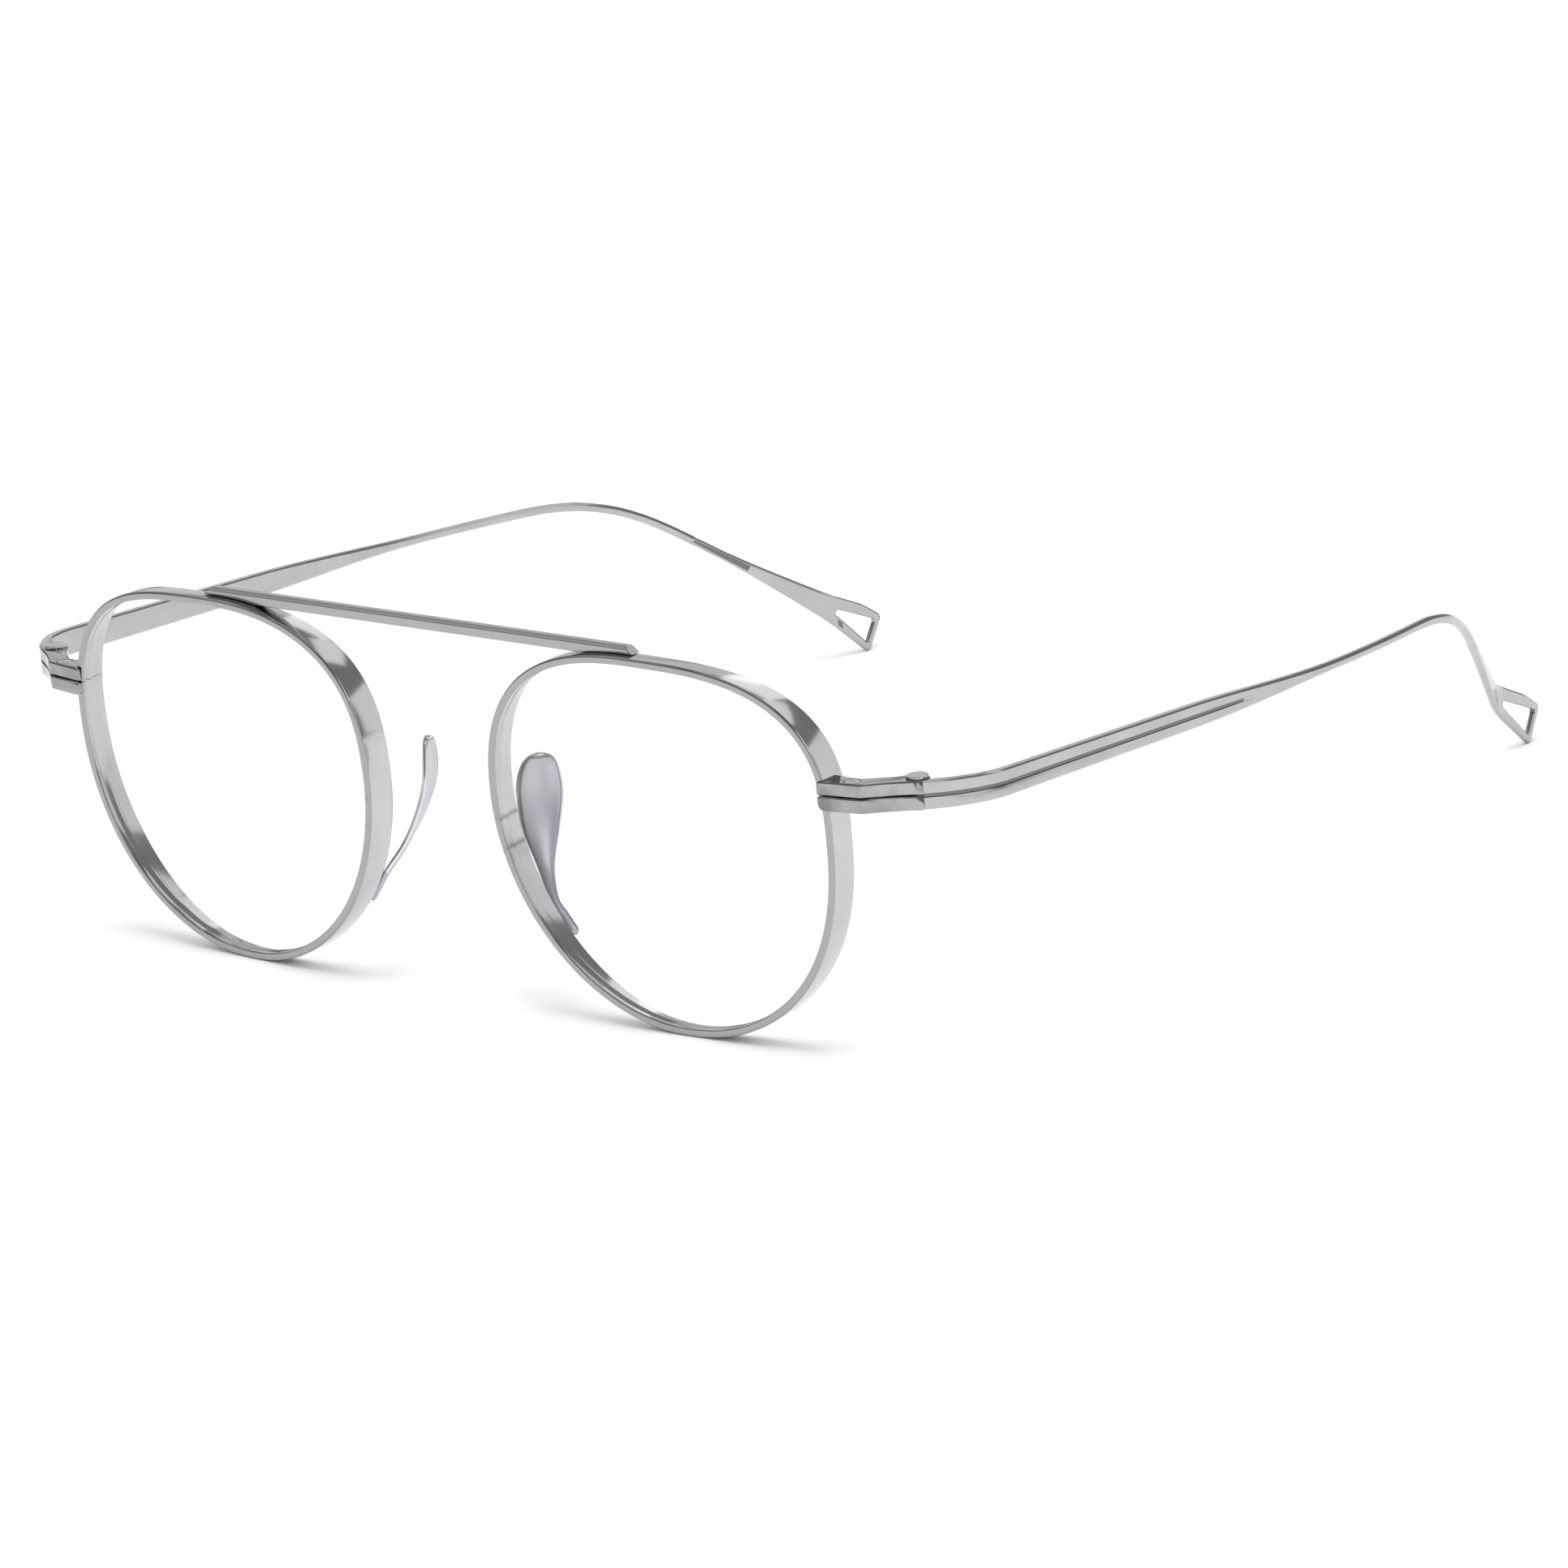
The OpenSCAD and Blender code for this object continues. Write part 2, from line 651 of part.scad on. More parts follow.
// two nylon washers, above and below the temple knuckle
module hinge_washers() {
    color([0.92, 0.92, 0.9])
    for (z = [split_z - slot_h / 2 + washer_gap, split_z + slot_h / 2 - washer_gap - washer_t])
    translate([pin.x, pin.y, z])
    difference() {
        cylinder(r = knuckle_r, h = washer_t);
        translate([0, 0, -1])
        cylinder(r = pin_r + pin_gap, h = 2);
    }
}

// temple strip: height, thickness and groove at each distance from the joint
function taper(s) = smooth(part_of(s, taper_start, taper_len));
function strip_h(s) = let (
    h = temple_h + (waist_h - temple_h) * part_of(s, 0, taper_start)
) h + (wire_d - h) * taper(s);
function strip_t(s) = temple_t + (wire_d - temple_t) * taper(s);
function strip_ring(p, s, more = 0) = let (
    d = step_dir(s),
    side = [sin(heading(s)), -cos(heading(s)), 0],
    up = cross(side, d),
    h = (strip_h(s) + more) / 2,
    t = strip_t(s) / 2,
    c = 0.2 + 0.12 * taper(s),
    g = channel_h / 2 * (1 - 0.4 * taper(s)),
    e = channel_deep * (1 - part_of(s, channel_len - 1, 2))
) [
    for (q = [
        [t - c, h],
        [c - t, h],
        [-t, h - c],
        [-t, c - h],
        [c - t, -h],
        [t - c, -h],
        [t, c - h],
        [t, -g],
        [t - e, -g * 0.8],
        [t - e, g * 0.8],
        [t, g],
        [t, h - c]
    ])
    p + q.x * side + q.y * up
];

module strip() {
    skin(concat(
        [for (i = [0 : path_n]) strip_ring(bend_path[i], i * path_ds)],
        [for (k = [1 : tail_rings])
            strip_ring(
                bend_end + tail_dir * (tail_len * k / tail_rings + (k == tail_rings ? fork_lap : 0)),
                tail_start,
                (fork_h - wire_d) * part_of(k / tail_rings, fork_from, 1 - fork_from)
            )
        ]
    ), [for (j = [1 : 10]) [0, j, j + 1]]);
}

// looped tip: a flat plate with an opening, in an upright plane behind the wire
module tip_loop() {
    translate([loop_from.x, loop_from.y, wire_end.z])
    rotate([0, 0, 90 + loop_heading])
    translate([0, loop_t / 2, 0])
    rotate([90, 0, 0])
    linear_extrude(loop_t)
    difference() {
        polygon(loop_outline);
        polygon(loop_hole);
    }
}

// knuckle that turns on the hinge screw between the washers
module knuckle() {
    translate([pin.x, pin.y, split_z - knuckle_h / 2])
    rotate([0, 0, flare])
    linear_extrude(knuckle_h) {
        circle(knuckle_r);
        polygon([
            [0, -knuckle_r + 0.1],
            [butt_ahead + 1, -pin_depth + temple_t * 0.6],
            [butt_ahead + 2, -pin_depth + temple_t * 0.7],
            [butt_ahead + 1, 0.1],
            [0, knuckle_r - 0.2]
        ]);
    }
}

module temple() {
    color([0.72, 0.72, 0.73])
    difference() {
        union() {
            difference() {
                strip();
                translate([pin.x, pin.y, split_z - end_h])
                cylinder(r = boss_r + 0.12, h = 2 * end_h);
            }
            knuckle();
            tip_loop();
        }
        translate([pin.x, pin.y, split_z - end_h])
        cylinder(r = pin_r + pin_gap, h = 2 * end_h);
    }
}

left() rim();  // rim_left
right() rim();  // rim_right
left() lens();  // lens_left
right() lens();  // lens_right
bridge_bar();
left() nose_pad();  // nose_pad_left
right() nose_pad();  // nose_pad_right
left() endpiece_upper();  // endpiece_upper_left
right() endpiece_upper();  // endpiece_upper_right
left() endpiece_lower();  // endpiece_lower_left
right() endpiece_lower();  // endpiece_lower_right
left() rim_screw();  // rim_screw_left
right() rim_screw();  // rim_screw_right
left() hinge_screw();  // hinge_screw_left
right() hinge_screw();  // hinge_screw_right
left() hinge_washers();  // hinge_washers_left
right() hinge_washers();  // hinge_washers_right
left() temple();  // temple_left
right() temple();  // temple_right
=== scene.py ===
import cmath
import json
import math

import bmesh
import bpy
from mathutils import Matrix, Vector
from mathutils.bvhtree import BVHTree

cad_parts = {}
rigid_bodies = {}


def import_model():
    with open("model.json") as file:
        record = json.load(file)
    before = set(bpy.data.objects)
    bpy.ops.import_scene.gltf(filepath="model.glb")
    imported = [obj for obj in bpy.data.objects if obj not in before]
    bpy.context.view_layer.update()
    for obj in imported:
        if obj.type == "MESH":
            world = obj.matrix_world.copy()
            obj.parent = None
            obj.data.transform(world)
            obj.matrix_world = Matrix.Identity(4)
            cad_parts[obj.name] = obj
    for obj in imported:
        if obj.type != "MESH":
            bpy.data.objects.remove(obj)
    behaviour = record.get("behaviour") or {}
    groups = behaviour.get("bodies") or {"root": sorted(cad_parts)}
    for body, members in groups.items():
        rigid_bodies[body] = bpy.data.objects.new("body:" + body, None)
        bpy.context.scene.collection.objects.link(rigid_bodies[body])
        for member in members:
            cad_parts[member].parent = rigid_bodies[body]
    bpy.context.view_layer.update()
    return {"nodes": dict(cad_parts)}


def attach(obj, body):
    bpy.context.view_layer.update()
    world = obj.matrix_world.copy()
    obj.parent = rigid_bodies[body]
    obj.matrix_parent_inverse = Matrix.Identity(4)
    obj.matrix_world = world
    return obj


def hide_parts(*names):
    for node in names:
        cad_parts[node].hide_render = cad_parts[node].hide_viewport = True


for leftover in list(bpy.data.objects):
    bpy.data.objects.remove(leftover)
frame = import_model()
MM = 0.001

# Studio
# The open glasses stand on a white table in front of a bright white wall. Two soft boxes light the
# table, and cards all round give the metal its reflections. The camera looks through a long lens from
# the wearer's left front, a little from above, and is tilted by five degrees.
LOOK_AT = Vector((7.85, -18.11, 13.28)) * MM
CAMERA_YAW = 0.73935
CAMERA_PITCH = 0.27958
CAMERA_ROLL = -0.09408
CAMERA_FAR = 1143.1 * MM
CAMERA_SENSOR = 36
CAMERA_LENS = 215.17
CAMERA_NEAR = 50 * MM

ahead = Vector((
    -math.sin(CAMERA_YAW) * math.cos(CAMERA_PITCH),
    math.cos(CAMERA_YAW) * math.cos(CAMERA_PITCH),
    -math.sin(CAMERA_PITCH),
))
level = Vector((math.cos(CAMERA_YAW), math.sin(CAMERA_YAW), 0))
steep = level.cross(ahead)
to_right = math.cos(CAMERA_ROLL) * level + math.sin(CAMERA_ROLL) * steep
to_top = math.cos(CAMERA_ROLL) * steep - math.sin(CAMERA_ROLL) * level
camera_lens = bpy.data.cameras.new("camera")
camera_lens.sensor_width = CAMERA_SENSOR
camera_lens.lens = CAMERA_LENS
camera_lens.clip_start = CAMERA_NEAR
camera = bpy.data.objects.new("camera", camera_lens)
facing = Matrix((to_right, to_top, -ahead)).transposed().to_4x4()
camera.matrix_world = Matrix.Translation(LOOK_AT - CAMERA_FAR * ahead) @ facing
bpy.context.scene.collection.objects.link(camera)
bpy.context.scene.camera = camera


class Wire:
    """A socket of a node tree, or the bare tree. Sums, products and powers of it add Math nodes."""

    def __init__(self, tree, socket=None):
        self.tree = tree
        self.socket = socket

    def node(self, kind, settings=(), values=(), out=0):
        made = self.tree.nodes.new(kind)
        for name, value in dict(settings).items():
            setattr(made, name, value)
        for key, value in dict(values).items():
            for one in value if isinstance(value, list) else [value]:
                if isinstance(one, Wire):
                    self.tree.links.new(one.socket, made.inputs[key])
                else:
                    made.inputs[key].default_value = one
        return Wire(self.tree, made.outputs[out] if len(made.outputs) else None)

    def out(self, key):
        return Wire(self.tree, self.socket.node.outputs[key])

    def into(self, shader, key):
        self.tree.links.new(self.socket, shader.inputs[key])

    def math(self, operation, first, second=0.0):
        return self.node("ShaderNodeMath", {"operation": operation}, {0: first, 1: second})

    def blend(self, part, first, second):
        """Colour between two colours or wires, by a part from 0 to 1."""
        return self.node("ShaderNodeMix", {"data_type": "RGBA"}, {0: part, 6: first, 7: second}, out=2)

    def mark(self, name):
        """Number kept on the mesh under a name."""
        return self.node("ShaderNodeAttribute", {"attribute_name": name}).out("Fac")

    def __add__(self, other):
        return self.math("ADD", self, other)

    __radd__ = __add__

    def __sub__(self, other):
        return self.math("SUBTRACT", self, other)

    def __rsub__(self, other):
        return self.math("SUBTRACT", other, self)

    def __mul__(self, other):
        return self.math("MULTIPLY", self, other)

    __rmul__ = __mul__

    def __truediv__(self, other):
        return self.math("DIVIDE", self, other)

    def __rtruediv__(self, other):
        return self.math("DIVIDE", other, self)

    def __pow__(self, other):
        return self.math("POWER", self, other)

    def __gt__(self, other):
        return self.math("GREATER_THAN", self, other)


ROOM_GREY = 0.27
world = bpy.data.worlds.new("studio")
world.use_nodes = True
world.node_tree.nodes.clear()
bpy.context.scene.world = world
bpy.context.scene.view_settings.view_transform = "Standard"
room = Wire(world.node_tree)
walls = room.node("ShaderNodeBackground", (), {"Color": (1, 1, 1, 1), "Strength": ROOM_GREY})
room.node("ShaderNodeOutputWorld", (), {"Surface": walls})

# Each row is a name, a direction from the middle, a distance, a width, a height and a power.
TABLE_LIGHTS = [
    ("key_box", (0.15, -0.15, 1.0), 1.0, 0.5, 0.5, 4.4),
    ("ceiling", (0.0, 0.0, 1.0), 1.0, 4.0, 4.0, 38),
]
METAL_CARDS = [
    ("back_wall", (-0.66, 0.72, 0.22), 1.6, 1.5, 0.45, 1.17),
    ("veil_card", (-0.533, 0.648, 0.545), 1.5, 0.8, 0.5, 0.66),
    ("corner_box", (-0.215, 0.686, 0.695), 1.3, 0.52, 0.5, 0.87),
    ("side_card", (0.66, 0.717, 0.226), 0.9, 0.66, 0.56, 0.86),
    ("shoulder_card", (0.197, 0.554, 0.809), 1.3, 0.53, 0.36, 0.5),
    ("top_card", (0.0, -0.1, 1.0), 1.3, 0.9, 0.7, 1.4),
    ("left_card", (-0.65, -0.28, 0.71), 1.4, 0.8, 0.6, 0.75),
    ("pad_card", (0.80, -0.06, 0.60), 1.3, 0.6, 0.46, 1.7),
    ("front_card", (0.891, -0.373, 0.259), 1.4, 1.7, 0.7, 2.8),
]


def soft_box(name, direction, distance, width, height, power, for_metal):
    """Area light that faces the object. A card for the metal is only seen in reflections."""
    lamp = bpy.data.lights.new(name, "AREA")
    lamp.shape = "RECTANGLE"
    lamp.size = width
    lamp.size_y = height
    lamp.energy = power
    box = bpy.data.objects.new(name, lamp)
    place = Vector(direction).normalized() * distance
    box.matrix_world = Matrix.Translation(place) @ place.to_track_quat("Z", "Y").to_matrix().to_4x4()
    box.visible_glossy = for_metal
    box.visible_diffuse = not for_metal
    bpy.context.scene.collection.objects.link(box)


for light in TABLE_LIGHTS:
    soft_box(*light, for_metal=False)
for card in METAL_CARDS:
    soft_box(*card, for_metal=True)


def paint(name, colour, metallic, roughness):
    """New material with one Principled shader. Returns it, its tree as a bare wire, and the shader."""
    material = bpy.data.materials.new(name)
    material.use_nodes = True
    material.node_tree.nodes.clear()
    tree = Wire(material.node_tree)
    finish = {"Base Color": (*colour, 1), "Metallic": metallic, "Roughness": roughness}
    shader = tree.node("ShaderNodeBsdfPrincipled", (), finish)
    tree.node("ShaderNodeOutputMaterial", (), {"Surface": shader})
    return material, tree, shader.socket.node


TABLE_HALF = 3
TABLE_WHITE = (0.95, 0.95, 0.95)
TABLE_ROUGH = 0.7
table_paint, _, _ = paint("table_white", TABLE_WHITE, 0.0, TABLE_ROUGH)
table_top = bpy.data.meshes.new("table")
table_corners = [(x * TABLE_HALF, y * TABLE_HALF, 0) for x, y in ((-1, -1), (1, -1), (1, 1), (-1, 1))]
table_top.from_pydata(table_corners, [], [(0, 1, 2, 3)])
table_top.materials.append(table_paint)
table = bpy.data.objects.new("table", table_top)
bpy.context.scene.collection.objects.link(table)

# Rims
# Each rim is one deep, thin titanium strip, rolled with a front lip, a groove for the lens and a thin
# wall behind it, bent round the lens and cut through at the endpiece. It is ground shallower where it
# passes under the bar and along the bottom, and has two fine weld seams.
LENS_WIDTH = 50.0
LENS_UP = 19.2
LENS_DOWN = 26.5
LENS_CURVE = 95.0
SQUARENESS = {"Upper Out": 2.72, "Upper In": 2.45, "Lower In": 1.96, "Lower Out": 2.14}
OUTLINE_TURN = math.radians(1.5)
WRAP = math.radians(2.9)
LEAN = math.radians(2)
RIM_PLACE = Vector((35.5, -73.5691, 26.8539)) * MM
RIM_OUT = 0.5
RIM_DEEP = 3.8
RIM_DEEP_TOP = 2.3
RIM_DEEP_BOTTOM = 2.7
GROOVE_AT = 1.0
GROOVE_DEEP = 0.45
GROOVE_HALF = 0.4
RIDGE_TO = 1.64
WALL_FROM = 2.0
WALL_IN = 0.05
# The rim's section, each corner with its place outwards and backwards and its rounding: round the
# outside, the rear wall, the ridge behind the groove, the groove and the front lip.
RIM_CORNERS = [
    (RIM_OUT, 0, 0.26), (RIM_OUT, RIM_DEEP, 0.1), (-WALL_IN, RIM_DEEP, 0.08), (-WALL_IN, WALL_FROM, 0.12),
    (-GROOVE_DEEP, RIDGE_TO, 0.06), (-GROOVE_DEEP, GROOVE_AT + GROOVE_HALF, 0.03), (0, GROOVE_AT, 0.04),
    (-GROOVE_DEEP, GROOVE_AT - GROOVE_HALF, 0.03), (-GROOVE_DEEP, 0, 0.13),
]
LIP_TO = 0.2
BACK_EDGE_FROM = 3.0
INNER_WALL_TO = 0.2
GROUND_POWER = 4.0
SPLIT_AT = math.radians(11.9988)
SPLIT_HALF = math.radians(0.1357)
SEAM_FIRST = math.radians(188)
SEAM_SECOND = math.radians(196)
SEAM_HALF = math.radians(0.5)
RIM_STEPS = 360
SATIN_TITANIUM = (0.525, 0.522, 0.525)
# Base colour of the front lip, darkened as painted shade.
LIP_PAINTED_SHADE = (0.37, 0.37, 0.373, 1)
SEAM_TONE = (0.27, 0.27, 0.27, 1)
RIM_ROUGH = 0.13
RIM_SCRATCH = 0.02
GRAIN_HIGH = 0.02 * MM
GLOSS_LEAST = 0.75
GLOSS_BY_WEAR = 0.3
GLOSS_BY_GRAIN = 0.2
MERGE_WITHIN = 0.001 * MM
SLIVER = 0.0001 * MM


def brushed(name, colour, roughness, grain=(900, 900, 900), scratch=0.03, wear_and_sheen=0.1):
    """Metal with a fine grain, cloudy lighter and darker tone and a rubbed gloss that comes and goes. Weak
    clouds are faint wear; strong clouds stand in for streaky reflections as painted reflection.
    """
    material, tree, shader = paint(name, colour, 1.0, roughness)
    place = tree.node("ShaderNodeTexCoord").out("Object")
    stretched = tree.node("ShaderNodeMapping", (), {"Vector": place, "Scale": grain})
    fine = tree.node("ShaderNodeTexNoise", (), {"Vector": stretched, "Scale": 6.0, "Detail": 4.0})
    cloud = tree.node("ShaderNodeTexNoise", (), {"Vector": place, "Scale": 160.0, "Detail": 3.0})
    gloss = roughness * (GLOSS_LEAST + GLOSS_BY_WEAR * cloud + GLOSS_BY_GRAIN * fine)
    gloss.into(shader, "Roughness")
    cloud_dark = (*(c * (1 - wear_and_sheen) for c in colour), 1)
    cloud_light = (*(min(1, c * (1 + wear_and_sheen)) for c in colour), 1)
    tree.blend(cloud, cloud_dark, cloud_light).into(shader, "Base Color")
    relief = {"Height": fine, "Strength": scratch, "Distance": GRAIN_HIGH}
    tree.node("ShaderNodeBump", (), relief).into(shader, "Normal")
    return material, tree, shader


def tone_of(tree, shader):
    """What feeds a shader's base colour so far."""
    return Wire(tree.tree, shader.inputs["Base Color"].links[0].from_socket)


rim_metal, rim_finish, rim_shader = brushed("rim_titanium", SATIN_TITANIUM, RIM_ROUGH, scratch=RIM_SCRATCH)
# Painted shade: the front lip gets a darker base colour that stands in for the dark room it reflects.
lip_with_painted_shade = rim_finish.blend(rim_finish.mark("lip"), tone_of(rim_finish, rim_shader), LIP_PAINTED_SHADE)
seam_mask = rim_finish.mark("seam") * rim_finish.mark("inner")
rim_finish.blend(seam_mask, lip_with_painted_shade, SEAM_TONE).into(rim_shader, "Base Color")


def rounded(corners, steps=4):
    """Closed outline through corners given as across, along and radius, with each corner rounded."""
    points = []
    for i, (x, y, radius) in enumerate(corners):
        corner = Vector((x, y))
        back = (Vector(corners[i - 1][:2]) - corner).normalized()
        onward = (Vector(corners[(i + 1) % len(corners)][:2]) - corner).normalized()
        if radius == 0:
            points.append(corner)
            continue
        half = back.angle(onward) / 2
        centre = corner + (back + onward).normalized() * radius / math.sin(half)
        start = corner + back * radius / math.tan(half) - centre
        end = corner + onward * radius / math.tan(half) - centre
        for k in range(steps + 1):
            arm = start.lerp(end, k / steps)
            points.append(centre + arm.normalized() * radius)
    return points


def section_object(name, points, closed):
    """Section line of points as an object that a Geometry Nodes tree takes as its input."""
    line = bpy.data.meshes.new(name)
    count = len(points)
    edges = [(i, (i + 1) % count) for i in range(count if closed else count - 1)]
    line.from_pydata([(p[0] * MM, p[1] * MM, 0) for p in points], edges, [])
    made = bpy.data.objects.new(name, line)
    bpy.context.scene.collection.objects.link(made)
    return made


def new_board(name, inputs):
    """Geometry Nodes tree with named inputs, given as name and socket type. Returns it as a bare wire,
    and the wires of its inputs."""
    tree = bpy.data.node_groups.new(name, "GeometryNodeTree")
    tree.interface.new_socket("Geometry", in_out="OUTPUT", socket_type="NodeSocketGeometry")
    for label, kind in inputs.items():
        tree.interface.new_socket(label, in_out="INPUT", socket_type="NodeSocket" + kind)
    start = Wire(tree).node("NodeGroupInput")
    return Wire(tree), {label: start.out(label) for label in inputs}


def joined(board, x=0.0, y=0.0, z=0.0):
    """Vector made of three numbers or wires."""
    return board.node("ShaderNodeCombineXYZ", (), {0: x, 1: y, 2: z})


def keep(board, shape, name, value):
    """Stores a number under a name on every point of a shape."""
    stored = {"Geometry": shape, "Name": name, "Value": value}
    return board.node("GeometryNodeStoreNamedAttribute", {"domain": "POINT"}, stored)


def kept(board, name):
    """Number that was stored under a name."""
    return board.node("GeometryNodeInputNamedAttribute", (), {"Name": name})


def moved(board, shape, **how):
    """Moves, turns or scales a shape as a whole."""
    return board.node("GeometryNodeTransform", (), {"Geometry": shape, **how})


def finish_board(board, shape, material):
    """Ends a tree with the real mesh in its material."""
    real = board.node("GeometryNodeRealizeInstances", (), {"Geometry": shape})
    coated = board.node("GeometryNodeSetMaterial", (), {"Geometry": real, "Material": material})
    board.node("NodeGroupOutput", (), {"Geometry": coated})


def grow(board, values):
    """Runs a tree with the values of its named inputs and returns the finished mesh."""
    seed = bpy.data.objects.new("seed", bpy.data.meshes.new("seed"))
    bpy.context.scene.collection.objects.link(seed)
    maker = seed.modifiers.new("maker", "NODES")
    maker.node_group = board.tree
    for item in board.tree.interface.items_tree:
        if item.in_out == "INPUT":
            maker[item.identifier] = values[item.name]
    graph = bpy.context.evaluated_depsgraph_get()
    grown = seed.evaluated_get(graph)
    mesh = bpy.data.meshes.new_from_object(grown, preserve_all_data_layers=True, depsgraph=graph)
    bpy.data.objects.remove(seed)
    return mesh


def settle(name, mesh, node, body, sharp=30):
    """Merges a piece's mesh, turns its faces outwards, smooths it and lets it stand for its CAD node."""
    shell = bmesh.new()
    shell.from_mesh(mesh)
    bmesh.ops.remove_doubles(shell, verts=shell.verts, dist=MERGE_WITHIN)
    bmesh.ops.dissolve_degenerate(shell, edges=shell.edges, dist=SLIVER)
    bmesh.ops.recalc_face_normals(shell, faces=shell.faces)
    shell.to_mesh(mesh)
    shell.free()
    mesh.shade_smooth()
    mesh.set_sharp_from_angle(angle=math.radians(sharp))
    piece = bpy.data.objects.new(name, mesh)
    bpy.context.scene.collection.objects.link(piece)
    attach(piece, body)
    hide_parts(node)
    return piece


bender, rim = new_board("rim_bender", {
    "Lens Width": "Float", "Lens Up": "Float", "Lens Down": "Float", "Lens Curve": "Float",
    "Upper Out": "Float", "Upper In": "Float", "Lower In": "Float", "Lower Out": "Float",
    "Outline Turn": "Float", "Depth Side": "Float", "Depth Top": "Float", "Depth Bottom": "Float",
    "Split At": "Float", "Split Half": "Float", "Seam First": "Float", "Seam Second": "Float",
    "Steps": "Int", "Section": "Object",
    "Turn": "Vector", "Place": "Vector", "Side": "Vector", "Material": "Material",
})
count = rim["Steps"] + 1.0
strip_line = bender.node("GeometryNodeMeshLine", (), {"Count": count})
rail = bender.node("GeometryNodeMeshToCurve", (), {"Mesh": strip_line})
index = bender.node("GeometryNodeInputIndex")
once_round = 2 * math.pi - 2.0 * rim["Split Half"]
angle = rim["Split At"] + rim["Split Half"] + once_round * index / rim["Steps"]
over = bender.math("COSINE", angle)
up = bender.math("SINE", angle)
outside = over > 0.0
above = up > 0.0
upper = rim["Upper In"] + (rim["Upper Out"] - rim["Upper In"]) * outside
lower = rim["Lower In"] + (rim["Lower Out"] - rim["Lower In"]) * outside
bend = 2.0 / (lower + (upper - lower) * above)
reach = rim["Lens Down"] + (rim["Lens Up"] - rim["Lens Down"]) * above
over_bent = bender.math("SIGN", over) * bender.math("ABSOLUTE", over) ** bend
up_bent = bender.math("SIGN", up) * bender.math("ABSOLUTE", up) ** bend
flat_u = over_bent * rim["Lens Width"] * 0.5
flat_v = up_bent * reach
turn_c = bender.math("COSINE", rim["Outline Turn"])
turn_s = bender.math("SINE", rim["Outline Turn"])
u = flat_u * turn_c + flat_v * turn_s
v = flat_v * turn_c - flat_u * turn_s
sag = (u * u + v * v) / (2.0 * rim["Lens Curve"])
on_lens = joined(bender, u, v, 0.0 - sag)
bent = bender.node("GeometryNodeSetPosition", (), {"Geometry": rail, "Position": on_lens})
ground = rim["Depth Bottom"] + (rim["Depth Top"] - rim["Depth Bottom"]) * above - rim["Depth Side"]
ground_kept = keep(bender, bent, "ground", ground * up ** GROUND_POWER)
to_first = bender.math("ABSOLUTE", angle - rim["Seam First"])
to_second = bender.math("ABSOLUTE", angle - rim["Seam Second"])
near_seam = bender.math("MINIMUM", to_first, to_second)
seam_kept = keep(bender, ground_kept, "seam", 1.0 - (near_seam > SEAM_HALF))
upright = bender.node("GeometryNodeSetCurveNormal", {"mode": "Z_UP"}, {"Curve": seam_kept})
die = bender.node("GeometryNodeObjectInfo", (), {"Object": rim["Section"]}).out("Geometry")
die_line = bender.node("GeometryNodeMeshToCurve", (), {"Mesh": die})
die_spot = bender.node("GeometryNodeInputPosition")
die_place = bender.node("ShaderNodeSeparateXYZ", (), {0: die_spot})
marked = keep(bender, die_line, "back_edge", die_place.out("Y") > BACK_EDGE_FROM * MM)
lipped = keep(bender, marked, "lip", 1.0 - (die_place.out("Y") > LIP_TO * MM))
faced = keep(bender, lipped, "inner", 1.0 - (die_place.out("X") > INNER_WALL_TO * MM))
strip = {"Curve": upright, "Profile Curve": faced, "Fill Caps": True}
rolled = bender.node("GeometryNodeCurveToMesh", (), strip)
lift = joined(bender, z=0.0 - kept(bender, "ground") * kept(bender, "back_edge"))
filed = bender.node("GeometryNodeSetPosition", (), {"Geometry": rolled, "Offset": lift})
placed = moved(bender, filed, Rotation=rim["Turn"], Translation=rim["Place"])
finish_board(bender, moved(bender, placed, Scale=rim["Side"]), rim["Material"])

rim_die = section_object("rim_section", rounded(RIM_CORNERS), closed=True)
for side, sign in (("left", 1), ("right", -1)):
    rim_mesh = grow(bender, {
        "Lens Width": LENS_WIDTH * MM, "Lens Up": LENS_UP * MM, "Lens Down": LENS_DOWN * MM,
        "Lens Curve": LENS_CURVE * MM, **SQUARENESS, "Outline Turn": OUTLINE_TURN,
        "Depth Side": RIM_DEEP * MM, "Depth Top": RIM_DEEP_TOP * MM, "Depth Bottom": RIM_DEEP_BOTTOM * MM,
        "Split At": SPLIT_AT, "Split Half": SPLIT_HALF, "Seam First": SEAM_FIRST, "Seam Second": SEAM_SECOND,
        "Steps": RIM_STEPS, "Section": rim_die, "Turn": (math.pi / 2 + LEAN, 0.0, WRAP),
        "Place": RIM_PLACE, "Side": (sign, 1.0, 1.0), "Material": rim_metal,
    })
    settle(f"rim_{side}_bent", rim_mesh, f"rim_{side}", "front")
bpy.data.objects.remove(rim_die)

# Lenses
# Clear acrylic demonstration lenses, cut to the inside of the rims, with a bevel all round that sits in
# the groove. A thin anti-reflection coating gives them a faint blue sheen at a low angle.
LENS_THICK = 1.5
LENS_GAP = 0.05
LENS_ARRIS = 0.03
LENS_ROUND = 240
LENS_RINGS = 14
BEVEL_HALF = 0.35
BEVEL_TOP_HALF = 0.02
LENS_CLEAR = (0.985, 0.985, 0.99, 1)
COATING_BLUE = (0.90, 0.905, 0.94)
COATING_FACING = 0.01
COATING_GLANCING = 0.09
COATING_ROUGH = 0.02
SMEAR_ROUGH = 0.03


